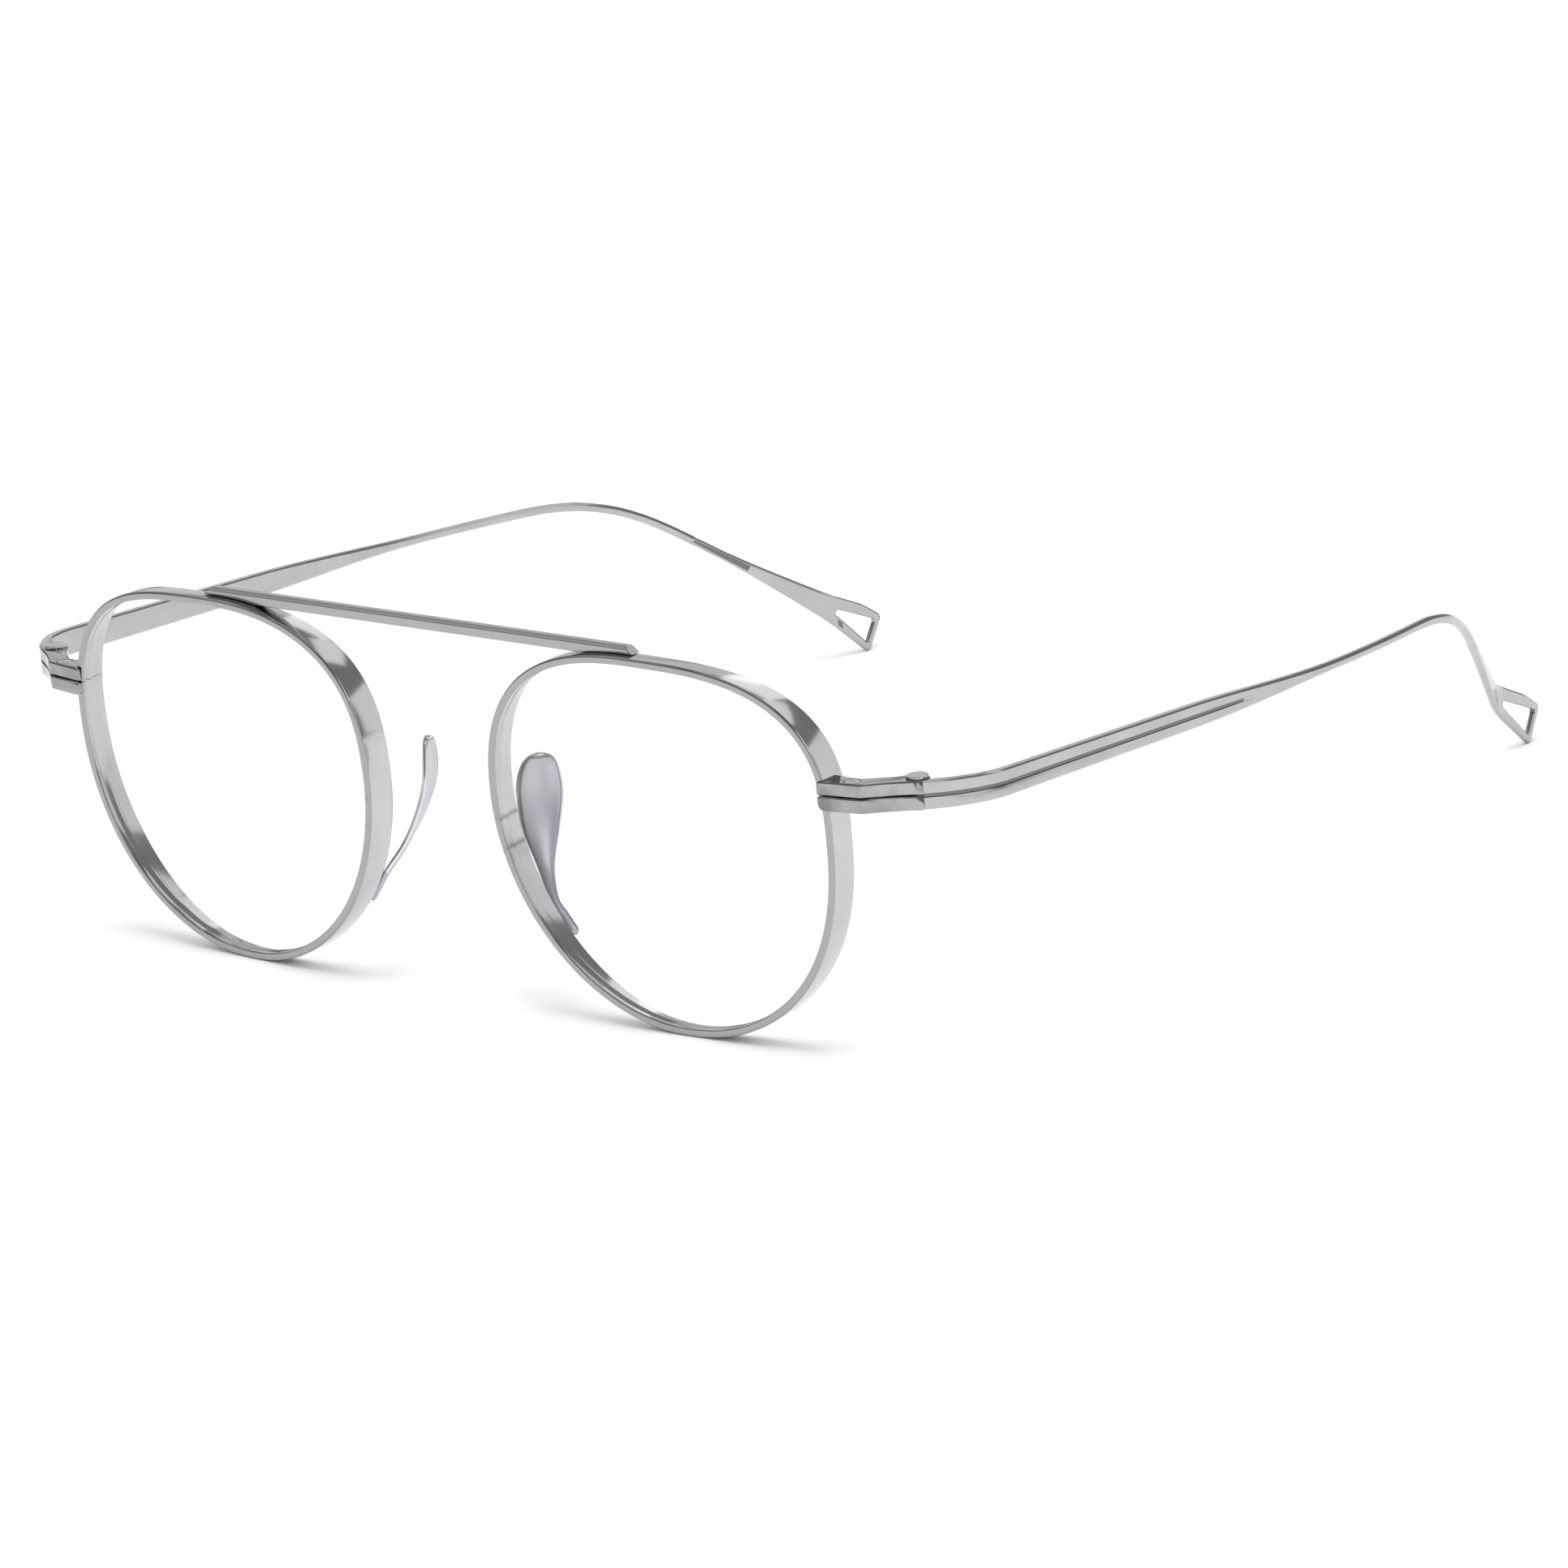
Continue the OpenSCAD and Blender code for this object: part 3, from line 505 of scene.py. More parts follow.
def outline_at(turn):
    """Lens outline at an angle in radians, as in the rims' tree, in millimetres."""
    c = math.cos(turn)
    s = math.sin(turn)
    bend = SQUARENESS[("Upper" if s > 0 else "Lower") + (" Out" if c > 0 else " In")]
    flat = Vector((
        LENS_WIDTH / 2 * math.copysign(abs(c) ** (2 / bend), c),
        (LENS_UP if s > 0 else LENS_DOWN) * math.copysign(abs(s) ** (2 / bend), s),
    ))
    return Matrix.Rotation(-OUTLINE_TURN, 2) @ flat


def beside_outline(turn, outward):
    """Point beside the lens outline, on the line that crosses it squarely."""
    step = math.radians(1)
    run = (outline_at(turn + step) - outline_at(turn - step)).normalized()
    return outline_at(turn) + outward * Vector((run.y, -run.x))


def behind_front(flat, depth):
    """Point of the left side at a depth behind the front of the curved lens, in metres."""
    depth += flat.length_squared / (2 * LENS_CURVE)
    leaning = Matrix.Rotation(WRAP, 3, "Z") @ Matrix.Rotation(LEAN, 3, "X")
    return leaning @ Vector((flat.x, depth, flat.y)) * MM + RIM_PLACE


lens_glass = bpy.data.materials.new("lens_clear")
lens_glass.use_nodes = True
lens_glass.node_tree.nodes.clear()
glass = Wire(lens_glass.node_tree)
lens_spot = glass.node("ShaderNodeTexCoord").out("Object")
smear = glass.node("ShaderNodeTexNoise", (), {"Vector": lens_spot, "Scale": 60.0, "Detail": 2.0})
see_through = glass.node("ShaderNodeBsdfTransparent", (), {"Color": LENS_CLEAR})
film_rough = COATING_ROUGH + SMEAR_ROUGH * smear
film = {"Base Color": (*COATING_BLUE, 1), "Metallic": 1.0, "Roughness": film_rough}
coating = glass.node("ShaderNodeBsdfPrincipled", (), film)
glancing = glass.node("ShaderNodeLayerWeight", (), {"Blend": 0.12}).out("Fresnel")
film_part = COATING_FACING + COATING_GLANCING * glancing
filmed = glass.node("ShaderNodeMixShader", (), {0: film_part, 1: see_through, 2: coating})
glass.node("ShaderNodeOutputMaterial", (), {"Surface": filmed})

# The rings run from the middle of the front, over the bevel, to the middle of the back. Each has its
# share of the outline, its place outwards from the outline and its depth.
bevel_inset = GROOVE_DEEP + LENS_GAP
bevel_top = LENS_GAP + BEVEL_TOP_HALF
lens_front = GROOVE_AT - LENS_THICK / 2
lens_back = GROOVE_AT + LENS_THICK / 2
lens_rings = [(k / LENS_RINGS, -bevel_inset, lens_front) for k in range(1, LENS_RINGS)]
lens_rings += [(1, -bevel_inset - LENS_ARRIS, lens_front), (1, -bevel_inset, lens_front + LENS_ARRIS)]
lens_rings += [(1, -bevel_inset, GROOVE_AT - BEVEL_HALF), (1, -bevel_top, GROOVE_AT - BEVEL_TOP_HALF)]
lens_rings += [(1, -bevel_top, GROOVE_AT + BEVEL_TOP_HALF), (1, -bevel_inset, GROOVE_AT + BEVEL_HALF)]
lens_rings += [(1, -bevel_inset, lens_back - LENS_ARRIS), (1, -bevel_inset - LENS_ARRIS, lens_back)]
lens_rings += [(k / LENS_RINGS, -bevel_inset, lens_back) for k in range(LENS_RINGS - 1, 0, -1)]


def tube_faces(rings, round_count):
    """Faces between rings of points that follow each other."""
    return [
        tuple(ring * round_count + spot for ring, spot in (
            (i, j), (i, (j + 1) % round_count), (i + 1, (j + 1) % round_count), (i + 1, j),
        ))
        for i in range(rings - 1)
        for j in range(round_count)
    ]


for side, sign in (("left", 1), ("right", -1)):
    lens_points = [
        behind_front(shrink * beside_outline(2 * math.pi * j / LENS_ROUND, outward), depth)
        for shrink, outward, depth in lens_rings
        for j in range(LENS_ROUND)
    ]
    front_middle = len(lens_points)
    back_middle = front_middle + 1
    last_ring = front_middle - LENS_ROUND
    lens_points += [behind_front(Vector((0, 0)), lens_front), behind_front(Vector((0, 0)), lens_back)]
    lens_points = [(sign * point.x, point.y, point.z) for point in lens_points]
    lens_faces = tube_faces(len(lens_rings), LENS_ROUND)
    for j in range(LENS_ROUND):
        onward = (j + 1) % LENS_ROUND
        lens_faces += [(front_middle, onward, j), (back_middle, last_ring + j, last_ring + onward)]
    lens_mesh = bpy.data.meshes.new(f"lens_{side}")
    lens_mesh.from_pydata(lens_points, [], lens_faces)
    lens_mesh.materials.append(lens_glass)
    settle(f"lens_{side}_cut", lens_mesh, f"lens_{side}", "front", sharp=25)

# Bridge bar
# One straight titanium bar, milled with a bevel along its upper front edge and a seat under each end,
# lies across the tops of both rims and is soldered to them. Its ends are cut down at a slope.
BAR_EDGE = 0.12
BAR_END_LONG = 1.2
BAR_END_HIGH = 0.9
BAR_GREY = (0.40, 0.40, 0.40)
BAR_ROUGH = 0.18
BAR_GRAIN = (60, 1500, 1500)
FLAT_WITHIN = math.radians(0.4)
OFF_FACE = 0.02 * MM
UP_AND_DOWN = (Vector((0, 0, 1)), Vector((0, 0, -1)))
bar_metal, _, _ = brushed("bar_titanium", BAR_GREY, BAR_ROUGH, grain=BAR_GRAIN)


def dressed(name, node, body, material, edge, sharp=30, cuts=(), more=None, groove=0):
    """Copy of a CAD node in its own metal, with flat faces joined and edges softened. Where asked, it is
    cut off beyond planes and joined to another mesh, and faces with metal close above and below them
    are marked as the groove, where the material paints shade."""
    mesh = frame["nodes"][node].data.copy()
    shell = bmesh.new()
    shell.from_mesh(mesh)
    bmesh.ops.remove_doubles(shell, verts=shell.verts, dist=MERGE_WITHIN)
    for spot, normal in cuts:
        everything = shell.verts[:] + shell.edges[:] + shell.faces[:]
        cut = bmesh.ops.bisect_plane(shell, geom=everything, plane_co=spot, plane_no=normal, clear_outer=True)
        open_edges = [part for part in cut["geom_cut"] if isinstance(part, bmesh.types.BMEdge)]
        bmesh.ops.holes_fill(shell, edges=open_edges)
    if more:
        shell.from_mesh(more)
    bmesh.ops.dissolve_limit(shell, angle_limit=FLAT_WITHIN, verts=shell.verts, edges=shell.edges)
    if groove:
        in_groove = shell.faces.layers.float.new("groove")
        sides = BVHTree.FromBMesh(shell)
        for face in shell.faces:
            spot = face.calc_center_median() + face.normal * OFF_FACE
            face[in_groove] = all(sides.ray_cast(spot, way, groove * MM)[0] for way in UP_AND_DOWN)
    shell.to_mesh(mesh)
    shell.free()
    mesh.materials.clear()
    mesh.materials.append(material)
    piece = settle(name, mesh, node, body, sharp)
    soft = piece.modifiers.new("soft_edges", "BEVEL")
    soft.width = edge * MM
    soft.segments = 2
    soft.limit_method = "ANGLE"
    soft.angle_limit = math.radians(sharp)
    soft.harden_normals = True


bar_points = frame["nodes"]["bridge_bar"].data.vertices
bar_high = max(point.co.z for point in bar_points)
bar_long = max(point.co.x for point in bar_points)
end_cuts = [
    ((sign * bar_long, 0, bar_high - BAR_END_HIGH * MM), (sign * BAR_END_HIGH, 0, BAR_END_LONG))
    for sign in (1, -1)
]
dressed("bridge_bar_milled", "bridge_bar", "front", bar_metal, BAR_EDGE, cuts=end_cuts)

# Nose pads
# Bare titanium leaf pads. Each is one piece with its own short arm: the arm's foot is soldered along
# the rim's back edge, and the leaf is pressed slightly hollow and polished round its border. The border
# also carries a painted highlight line, with a painted shade line just inside it.
PAD_WIDE = 6.0
PAD_THICK = 0.8
PAD_HOLLOW = 0.45
PAD_TURN = math.radians(28)
PAD_GAP = 0.05
PAD_SQUARE = 0.6
ARM_WIDE = 1.2
HEEL_TO = 0.4
HEEL_LEAST = 0.3
PAD_STEPS = 60
PAD_ROUND = 28
NEARBY = 0.05
PAD_ROUGH = 0.36
BORDER_ROUGH = 0.20
PAD_GREY = (0.55, 0.535, 0.56)
PAD_TINT = (0.50, 0.47, 0.545, 1)
TINT_SPREAD = (0.4, 0.62)
# Border colours: a painted shade line just inside the border, then a painted highlight line on it.
BORDER_PAINTED_SHADE = (0.26, 0.26, 0.27, 1)
PAINTED_SHADE_FROM_TO = (0.79, 0.86)
BORDER_PAINTED_HIGHLIGHT = (0.70, 0.70, 0.71, 1)
PAINTED_HIGHLIGHT_FROM_TO = (0.87, 0.93)


def eased(tree, value, limits):
    """Part from 0 to 1 that rises smoothly as a value goes from the first limit to the second."""
    span = {"Value": value, "From Min": limits[0], "From Max": limits[1]}
    return tree.node("ShaderNodeMapRange", {"interpolation_type": "SMOOTHSTEP"}, span)


pad_metal, pad_finish, pad_shader = brushed("pad_titanium", PAD_GREY, PAD_ROUGH)
to_border = pad_finish.mark("border")
pad_spot = pad_finish.node("ShaderNodeTexCoord").out("Object")
tint_cloud = pad_finish.node("ShaderNodeTexNoise", (), {"Vector": pad_spot, "Scale": 130.0, "Detail": 1.0})
tint_part = eased(pad_finish, tint_cloud, TINT_SPREAD)
# A faint violet tint in random clouds over the pad.
violet_cloud_tint = pad_finish.blend(tint_part, tone_of(pad_finish, pad_shader), PAD_TINT)
# Painted shade: a dark line just inside the border.
painted_shade_line = pad_finish.blend(eased(pad_finish, to_border, PAINTED_SHADE_FROM_TO), violet_cloud_tint, BORDER_PAINTED_SHADE)
# Painted highlight: the border's base colour is lightened, and the same part lowers the roughness for the
# real polish.
polish_and_painted_highlight = eased(pad_finish, to_border, PAINTED_HIGHLIGHT_FROM_TO)
pad_finish.blend(polish_and_painted_highlight, painted_shade_line, BORDER_PAINTED_HIGHLIGHT).into(pad_shader, "Base Color")
(PAD_ROUGH - (PAD_ROUGH - BORDER_ROUGH) * polish_and_painted_highlight).into(pad_shader, "Roughness")


def smooth_through(knots, place):
    """Smooth value through evenly spaced knots."""
    i = min(len(knots) - 2, int(place))
    a, b, c, d = (knots[max(0, min(len(knots) - 1, i + k))] for k in (-1, 0, 1, 2))
    f = place - i
    return b + f * ((c - a) / 2 + f * (a - 5 / 2 * b + 2 * c - d / 2 + f * (3 * b - a - 3 * c + d) / 2))


def behind_rim(degrees, outward, back):
    """Point behind the rim's lower back edge, in millimetres."""
    turn = math.radians(degrees)
    depth = RIM_DEEP + (RIM_DEEP_BOTTOM - RIM_DEEP) * math.sin(turn) ** GROUND_POWER
    beside = beside_outline(turn, RIM_OUT + outward)
    return behind_front(beside, depth + PAD_GAP + ARM_WIDE / 2 + back) / MM


# The pad's middle line lies along the rim's back edge, in degrees round the rim, outwards and back, and
# then rises into the leaf, in steps from the foot. Its width goes with it up to the last knot but one,
# and from there the leaf is rounded off.
ARM_KNOTS = ((224, -0.3, 0), (218.5, -0.3, 0), (213, -0.1, 0.1))
LEAF_KNOTS = ((-5.3, 1.4, 7.4), (-6.9, 2.9, 11.4), (-7.6, 4.1, 15.4), (-7.6, 4.6, 20.2))
pad_line = [behind_rim(*knot) for knot in ARM_KNOTS]
pad_line += [pad_line[0] + Vector(step) for step in LEAF_KNOTS]
pad_widths = [ARM_WIDE, ARM_WIDE, ARM_WIDE, ARM_WIDE * 1.9, PAD_WIDE * 0.8, PAD_WIDE]
top = len(pad_line) - 1
for side, sign in (("left", 1), ("right", -1)):
    pad_points = []
    border = []
    for i in range(PAD_STEPS + 1):
        place = top * math.sin(math.pi / 2 * i / PAD_STEPS)
        middle = smooth_through(pad_line, place)
        onward = smooth_through(pad_line, min(top, place + NEARBY))
        run = (onward - smooth_through(pad_line, max(0, place - NEARBY))).normalized()
        across = Vector((math.sin(PAD_TURN), math.cos(PAD_TURN), 0))
        across = (across - across.dot(run) * run).normalized()
        face = run.cross(across)
        tip = max(0, place - (len(pad_widths) - 1))
        if tip == 0:
            width = smooth_through(pad_widths, place)
        else:
            width = max(ARM_WIDE / 2, PAD_WIDE * math.sqrt(max(0, 1 - tip ** 2)))
        heel = max(HEEL_LEAST, math.sqrt(1 - max(0, 1 - place / HEEL_TO) ** 2))
        hollow = PAD_HOLLOW * max(0, (width - ARM_WIDE) / (PAD_WIDE - ARM_WIDE))
        width *= heel
        for k in range(PAD_ROUND):
            turn = 2 * math.pi * (k + 0.5) / PAD_ROUND
            q = -math.cos(turn)
            rise = math.copysign(abs(math.sin(turn)) ** PAD_SQUARE, math.sin(turn)) * PAD_THICK * heel / 2
            point = (middle + q * width / 2 * across + (rise + hollow * (q * q - 0.5)) * face) * MM
            pad_points.append((sign * point.x, point.y, point.z))
            border.append(max(abs(q), tip) if hollow > 0 else 0.0)
    foot_end = tuple(range(PAD_ROUND - 1, -1, -1))
    leaf_end = tuple(PAD_STEPS * PAD_ROUND + j for j in range(PAD_ROUND))
    pad_mesh = bpy.data.meshes.new(f"nose_pad_{side}")
    pad_mesh.from_pydata(pad_points, [], tube_faces(PAD_STEPS + 1, PAD_ROUND) + [foot_end, leaf_end])
    pad_mesh.attributes.new("border", "FLOAT", "POINT").data.foreach_set("value", border)
    pad_mesh.materials.append(pad_metal)
    settle(f"nose_pad_{side}_pressed", pad_mesh, f"nose_pad_{side}", "front", sharp=50)

# Endpieces
# Each endpiece is two stacked titanium halves, one soldered to each end of the split rim. Behind a
# slender neck they carry the hinge plates, and their side is drawn slightly hollow towards the temple.
END_EDGE = 0.12
END_GREY = (0.32, 0.32, 0.32)
END_ROUGH = 0.1
# Painted reflection: the endpieces' clouds are made strong, so their light and dark patches stand in for
# streaky reflections.
END_WEAR_AND_SHEEN = 0.95
end_metal, _, _ = brushed("endpiece_titanium", END_GREY, END_ROUGH, wear_and_sheen=END_WEAR_AND_SHEEN)
for side in ("left", "right"):
    for half in ("upper", "lower"):
        node = f"endpiece_{half}_{side}"
        dressed(f"{node}_soft", node, "front", end_metal, END_EDGE)

# Screws
# Stainless slotted screws. The rim screw is sunk in the upper half and closes the rim on the lens. The
# hinge screw stands a little proud on its round plate, and the temple turns on its shank.
PIN_PLACE = (69.6409, -63.3784, 34.2239)
PIN_SHANK = 0.6
PIN_LONG = 3.52
PIN_HEAD = 1.35
PIN_HIGH = 0.26
PIN_TURN = math.radians(36)
RIM_SCREW_PLACE = (63.67, -67.85728, 33.7239)
RIM_SCREW_SHANK = 0.5
RIM_SCREW_LONG = 3.0
RIM_SCREW_HEAD = 1.0
RIM_SCREW_HIGH = 0.48
RIM_SCREW_TURN = math.radians(10)
SLOT_WIDE = 0.3
SLOT_DEEP = 0.2
SCREW_ROUND = 64
SHANK_CHAMFER = 0.1
HEAD_ARRIS = 0.04
DOME_PART = 0.4
DOME_TURNS = (0, 0.35, 0.7, 1.05, 1.4)
STEEL_GREY = (0.55, 0.55, 0.55)
STEEL_ROUGH = 0.18
NO_ROUNDING_DOWN = 0.0001

screw_steel, _, _ = brushed("screw_steel", STEEL_GREY, STEEL_ROUGH)
lathe, screw = new_board("screw_turner", {
    "Section": "Object", "Rows": "Int", "Round": "Int", "Head Radius": "Float", "Head Height": "Float",
    "Slot Width": "Float", "Slot Depth": "Float", "Slot Turn": "Vector", "Place": "Vector",
    "Side": "Vector", "Material": "Material",
})
skin_size = {"Vertices X": screw["Round"] + 1.0, "Vertices Y": screw["Rows"]}
skin = lathe.node("GeometryNodeMeshGrid", (), skin_size)
vertex = lathe.node("GeometryNodeInputIndex")
column = lathe.math("FLOOR", vertex / screw["Rows"] + NO_ROUNDING_DOWN)
row = vertex - column * screw["Rows"]
section = lathe.node("GeometryNodeObjectInfo", (), {"Object": screw["Section"]}).out("Geometry")
sample = {"Geometry": section, "Value": lathe.node("GeometryNodeInputPosition"), "Index": row}
sampled = lathe.node("GeometryNodeSampleIndex", {"data_type": "FLOAT_VECTOR"}, sample)
radius = lathe.node("ShaderNodeSeparateXYZ", (), {0: sampled})
spin = 2 * math.pi * column / screw["Round"]
spin_x = radius.out("X") * lathe.math("COSINE", spin)
spin_y = radius.out("X") * lathe.math("SINE", spin)
turned = joined(lathe, spin_x, spin_y, radius.out("Y"))
blank = lathe.node("GeometryNodeSetPosition", (), {"Geometry": skin, "Position": turned})
closing = {"Geometry": blank, "Distance": MERGE_WITHIN}
closed_blank = lathe.node("GeometryNodeMergeByDistance", (), closing)
saw_size = joined(lathe, screw["Head Radius"] * 3.0, screw["Slot Width"], screw["Slot Depth"] * 2.0)
saw = lathe.node("GeometryNodeMeshCube", (), {"Size": saw_size})
saw_set = moved(lathe, saw, Translation=joined(lathe, z=screw["Head Height"]))
slotted = lathe.node("GeometryNodeMeshBoolean", {"operation": "DIFFERENCE"}, {0: closed_blank, 1: [saw_set]})
driven = moved(lathe, slotted, Rotation=screw["Slot Turn"], Translation=screw["Place"])
finish_board(lathe, moved(lathe, driven, Scale=screw["Side"]), screw["Material"])


def screw_section(shank, length, head, high):
    """Half section of a screw, from the shank's end over the domed head to the middle of its top."""
    dome = high * DOME_PART
    stem = [(0, -length), (shank - SHANK_CHAMFER, -length), (shank, SHANK_CHAMFER - length), (shank, 0)]
    crown = [(head - dome * (1 - math.cos(a)), high - dome + dome * math.sin(a)) for a in DOME_TURNS]
    return stem + [(head - HEAD_ARRIS, 0), (head, HEAD_ARRIS)] + crown + [(head / 2, high), (0, high)]


for kind, place, shank, length, head, high, slot_turn in (
    ("hinge_screw", PIN_PLACE, PIN_SHANK, PIN_LONG, PIN_HEAD, PIN_HIGH, PIN_TURN),
    (
        "rim_screw", RIM_SCREW_PLACE, RIM_SCREW_SHANK, RIM_SCREW_LONG,
        RIM_SCREW_HEAD, RIM_SCREW_HIGH, RIM_SCREW_TURN,
    ),
):
    rows = screw_section(shank, length, head, high)
    pattern = section_object(f"{kind}_section", rows, closed=False)
    for side, sign in (("left", 1), ("right", -1)):
        screw_mesh = grow(lathe, {
            "Section": pattern, "Rows": len(rows), "Round": SCREW_ROUND, "Head Radius": head * MM,
            "Head Height": high * MM, "Slot Width": SLOT_WIDE * MM, "Slot Depth": SLOT_DEEP * MM,
            "Slot Turn": (0.0, 0.0, slot_turn), "Place": Vector(place) * MM,
            "Side": (sign, 1.0, 1.0), "Material": screw_steel,
        })
        settle(f"{kind}_{side}_turned", screw_mesh, f"{kind}_{side}", "front")
    bpy.data.objects.remove(pattern)

# Hinge washers
# Two thin nylon washers in each hinge, above and below the temple's knuckle, keep the plates apart.
NYLON_WHITE = (0.86, 0.86, 0.83)
NYLON_ROUGH = 0.5
NYLON_ROUGH_LEAST = 0.42
NYLON_ROUGH_SPREAD = 0.16
nylon, nylon_finish, nylon_shader = paint("washer_nylon", NYLON_WHITE, 0.0, NYLON_ROUGH)
nylon_spot = nylon_finish.node("ShaderNodeTexCoord").out("Object")
mottle = nylon_finish.node("ShaderNodeTexNoise", (), {"Vector": nylon_spot, "Scale": 2500.0, "Detail": 3.0})
(NYLON_ROUGH_LEAST + NYLON_ROUGH_SPREAD * mottle).into(nylon_shader, "Roughness")
nylon_relief = {"Height": mottle, "Strength": 0.1, "Distance": GRAIN_HIGH}
nylon_finish.node("ShaderNodeBump", (), nylon_relief).into(nylon_shader, "Normal")
for side in ("left", "right"):
    for washer_slot in frame["nodes"][f"hinge_washers_{side}"].material_slots:
        washer_slot.material = nylon

# Temples
# Each temple is one titanium strip with a long groove in its outer face, bent to the head and drawn
# down to wire at the ear. The tip is a flat loop, and the knuckle at the front turns in the hinge.
TEMPLE_EDGE = 0.07
TEMPLE_GREY = (0.45, 0.45, 0.45)
TEMPLE_ROUGH = 0.18
TEMPLE_WEAR = 0.16
GROOVE_WIDEST = 0.7
# Dark base colour for the groove's faces: painted shade in the recess.
GROOVE_PAINTED_SHADE = (0.17, 0.17, 0.17, 1)
TAIL_START = Vector((64.0367, 47.4419, 19.8665))
TAIL_DROP = math.radians(34.5)
TAIL_LONG = 21.5687
TAIL_LAP = 0.4
TAIL_STEPS = 12
WIRE_THICK = 1.1
WIRE_AT_BEND = 0.9
FORK_HIGH = 3.3
FORK_FROM = 0.2
FORK_POWER = 1.4
LOOP_THIN = 0.75
LOOP_LONG = 9.45
LOOP_SLOPE = 0.364
LOOP_REAR = 5.3
LOOP_REAR_WAY = (0.53, 0.85)
LOOP_BACK_ALONG = 0.65
LOOP_BACK_DOWN = 0.12
LOOP_STRIP = 0.95
LOOP_ROUND = 0.34
TAIL_HEADING = math.radians(120)
LOOP_HEADING = math.radians(94)
HEADING_TURN = 4.0
HEADING_CUTS = 16
TIP_MERGE = 0.0001

temple_look = brushed("temple_titanium", TEMPLE_GREY, TEMPLE_ROUGH, wear_and_sheen=TEMPLE_WEAR)
temple_metal, temple_finish, temple_shader = temple_look
temple_tone = tone_of(temple_finish, temple_shader)
# Painted shade: faces inside the groove get a dark base colour that stands in for the shade in the recess.
temple_finish.blend(temple_finish.mark("groove"), temple_tone, GROOVE_PAINTED_SHADE).into(temple_shader, "Base Color")
fork = Vector((TAIL_LONG * math.cos(TAIL_DROP), TAIL_START.z - TAIL_LONG * math.sin(TAIL_DROP)))


def tail_edge(side):
    """Upper or lower edge of the widening tail, along its plan line and up, from the bend to the fork."""
    square = Vector((math.sin(TAIL_DROP), math.cos(TAIL_DROP)))
    start = Vector((0, TAIL_START.z)) - TAIL_LAP * Vector((math.cos(TAIL_DROP), -math.sin(TAIL_DROP)))
    for k in range(TAIL_STEPS + 1):
        f = k / TAIL_STEPS
        widening = max(0, (f - FORK_FROM) / (1 - FORK_FROM)) ** FORK_POWER
        high = WIRE_THICK * min(1, WIRE_AT_BEND + f) + (FORK_HIGH - WIRE_THICK) * widening
        yield start.lerp(fork, f) + side * square * high / 2


def tail_place(run, high, out):
    """Point of the left tail, given along its plan line, up and outwards, in millimetres."""
    before = fork.x - HEADING_TURN / 2
    turn = (LOOP_HEADING - TAIL_HEADING) / HEADING_TURN
    in_turn = min(max(run - before, 0), HEADING_TURN)
    first = cmath.rect(1, TAIL_HEADING)
    heading = TAIL_HEADING + turn * in_turn
    now = cmath.rect(1, heading)
    spot = min(run, before) * first + (now - first) / (1j * turn) + max(0, run - before - HEADING_TURN) * now
    thinned = min(1, max(0, run / fork.x))
    spot += out * (1 - (1 - LOOP_THIN) * thinned ** 2) * cmath.rect(1, heading - math.pi / 2)
    return Vector((TAIL_START.x + spot.real, TAIL_START.y + spot.imag, high)) * MM


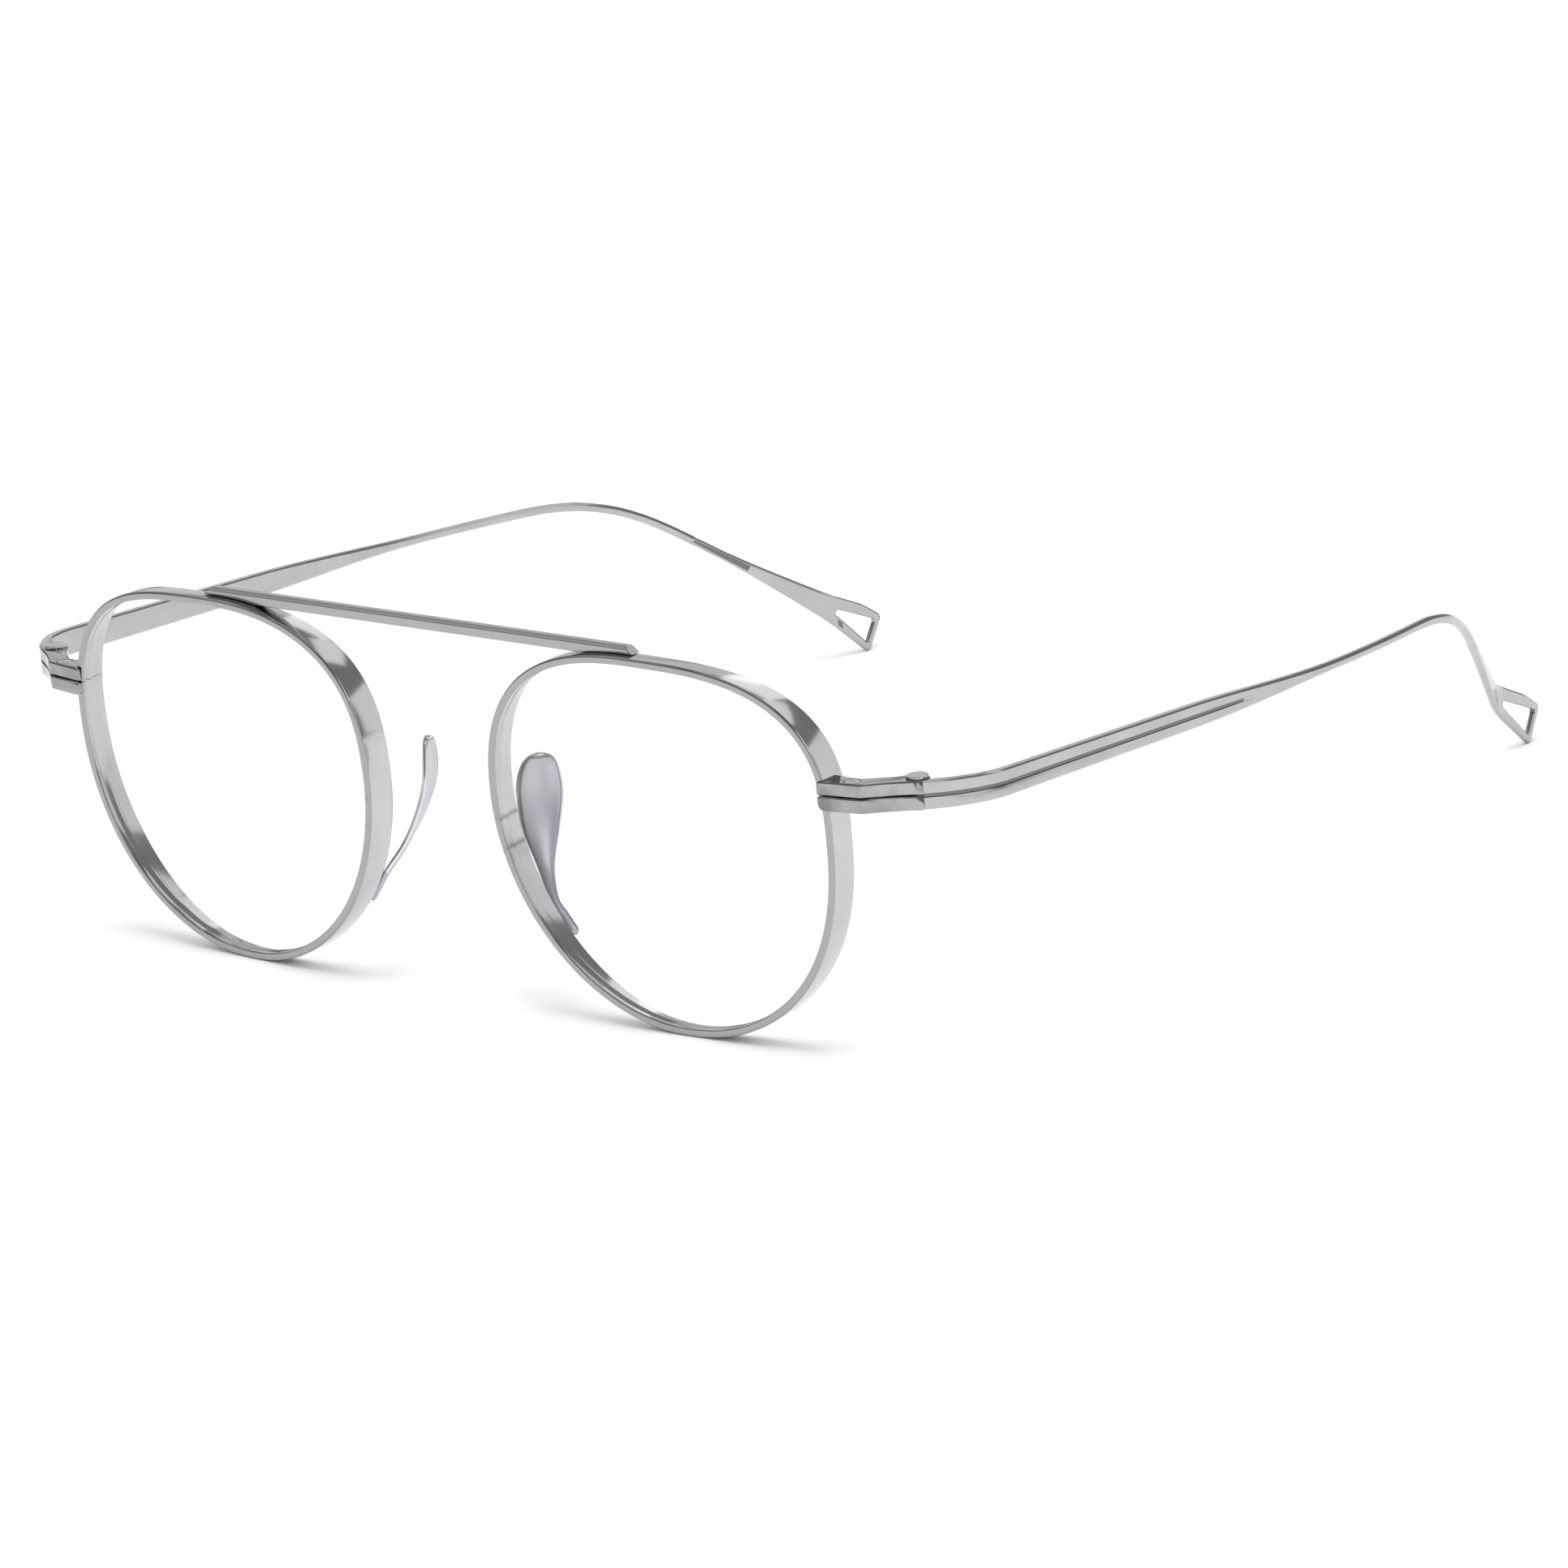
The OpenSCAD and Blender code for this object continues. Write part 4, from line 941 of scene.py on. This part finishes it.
# The loop's outline and opening. Each corner has its place along, its place up and its rounding.
loop_tip = fork + Vector((LOOP_LONG, -LOOP_SLOPE * LOOP_LONG))
loop_toe = loop_tip - LOOP_REAR * Vector(LOOP_REAR_WAY)
loop_back = (fork.x + LOOP_LONG * LOOP_BACK_ALONG, fork.y - LOOP_LONG * LOOP_BACK_DOWN)
upper = list(tail_edge(1))
lower = list(tail_edge(-1))
tail_outline = [(*point, 0) for point in upper[:-1]]
tail_outline += [(*upper[-1], 2.5), (*loop_back, 12), (*loop_tip, 0.8), (*loop_toe, 0.7), (*lower[-1], 6)]
tail_outline += [(*point, 0) for point in reversed(lower[:-1])]
loop_opening = [
    (fork.x - 0.4, fork.y + 0.15, 0.4),
    (*(loop_tip + LOOP_STRIP * Vector((-1.35, -0.27))), 0.5),
    (*(loop_toe + LOOP_STRIP * Vector((-0.23, 1.53))), 0.3),
]
tip_curve = bpy.data.curves.new("temple_tip", "CURVE")
tip_curve.dimensions = "2D"
tip_curve.fill_mode = "BOTH"
tip_curve.bevel_resolution = 3
tip_curve.extrude = WIRE_THICK / 2 - LOOP_ROUND
tip_curve.bevel_depth = LOOP_ROUND
tip_curve.offset = -LOOP_ROUND
for line in (rounded(tail_outline, 6), rounded(loop_opening, 6)):
    spline = tip_curve.splines.new("POLY")
    spline.points.add(len(line) - 1)
    spline.points.foreach_set("co", [value for point in line for value in (point.x, point.y, 0, 1)])
    spline.use_cyclic_u = True
tip_flat = bpy.data.objects.new("temple_tip", tip_curve)
bpy.context.scene.collection.objects.link(tip_flat)
tip_graph = bpy.context.evaluated_depsgraph_get()
tip_blank = bpy.data.meshes.new_from_object(tip_flat.evaluated_get(tip_graph), depsgraph=tip_graph)
bpy.data.objects.remove(tip_flat)
for side, sign in (("left", 1), ("right", -1)):
    tip = bmesh.new()
    tip.from_mesh(tip_blank)
    bmesh.ops.remove_doubles(tip, verts=tip.verts, dist=TIP_MERGE)
    for k in range(HEADING_CUTS + 1):
        bend_at = (fork.x + HEADING_TURN * (k / HEADING_CUTS - 0.5), 0, 0)
        everything = tip.verts[:] + tip.edges[:] + tip.faces[:]
        bmesh.ops.bisect_plane(tip, geom=everything, plane_co=bend_at, plane_no=(1, 0, 0))
    for corner in tip.verts:
        place = tail_place(*corner.co)
        corner.co = (sign * place.x, place.y, place.z)
    tip_mesh = bpy.data.meshes.new(f"temple_tip_{side}")
    tip.to_mesh(tip_mesh)
    tip.free()
    tail_way = Vector((sign * math.cos(TAIL_HEADING), math.sin(TAIL_HEADING), -math.tan(TAIL_DROP)))
    tail_from = Vector((sign * TAIL_START.x, TAIL_START.y, TAIL_START.z)) * MM
    dressed(
        f"temple_{side}_drawn", f"temple_{side}", f"temple_{side}", temple_metal,
        TEMPLE_EDGE, cuts=[(tail_from, tail_way)], more=tip_mesh, groove=GROOVE_WIDEST,
    )
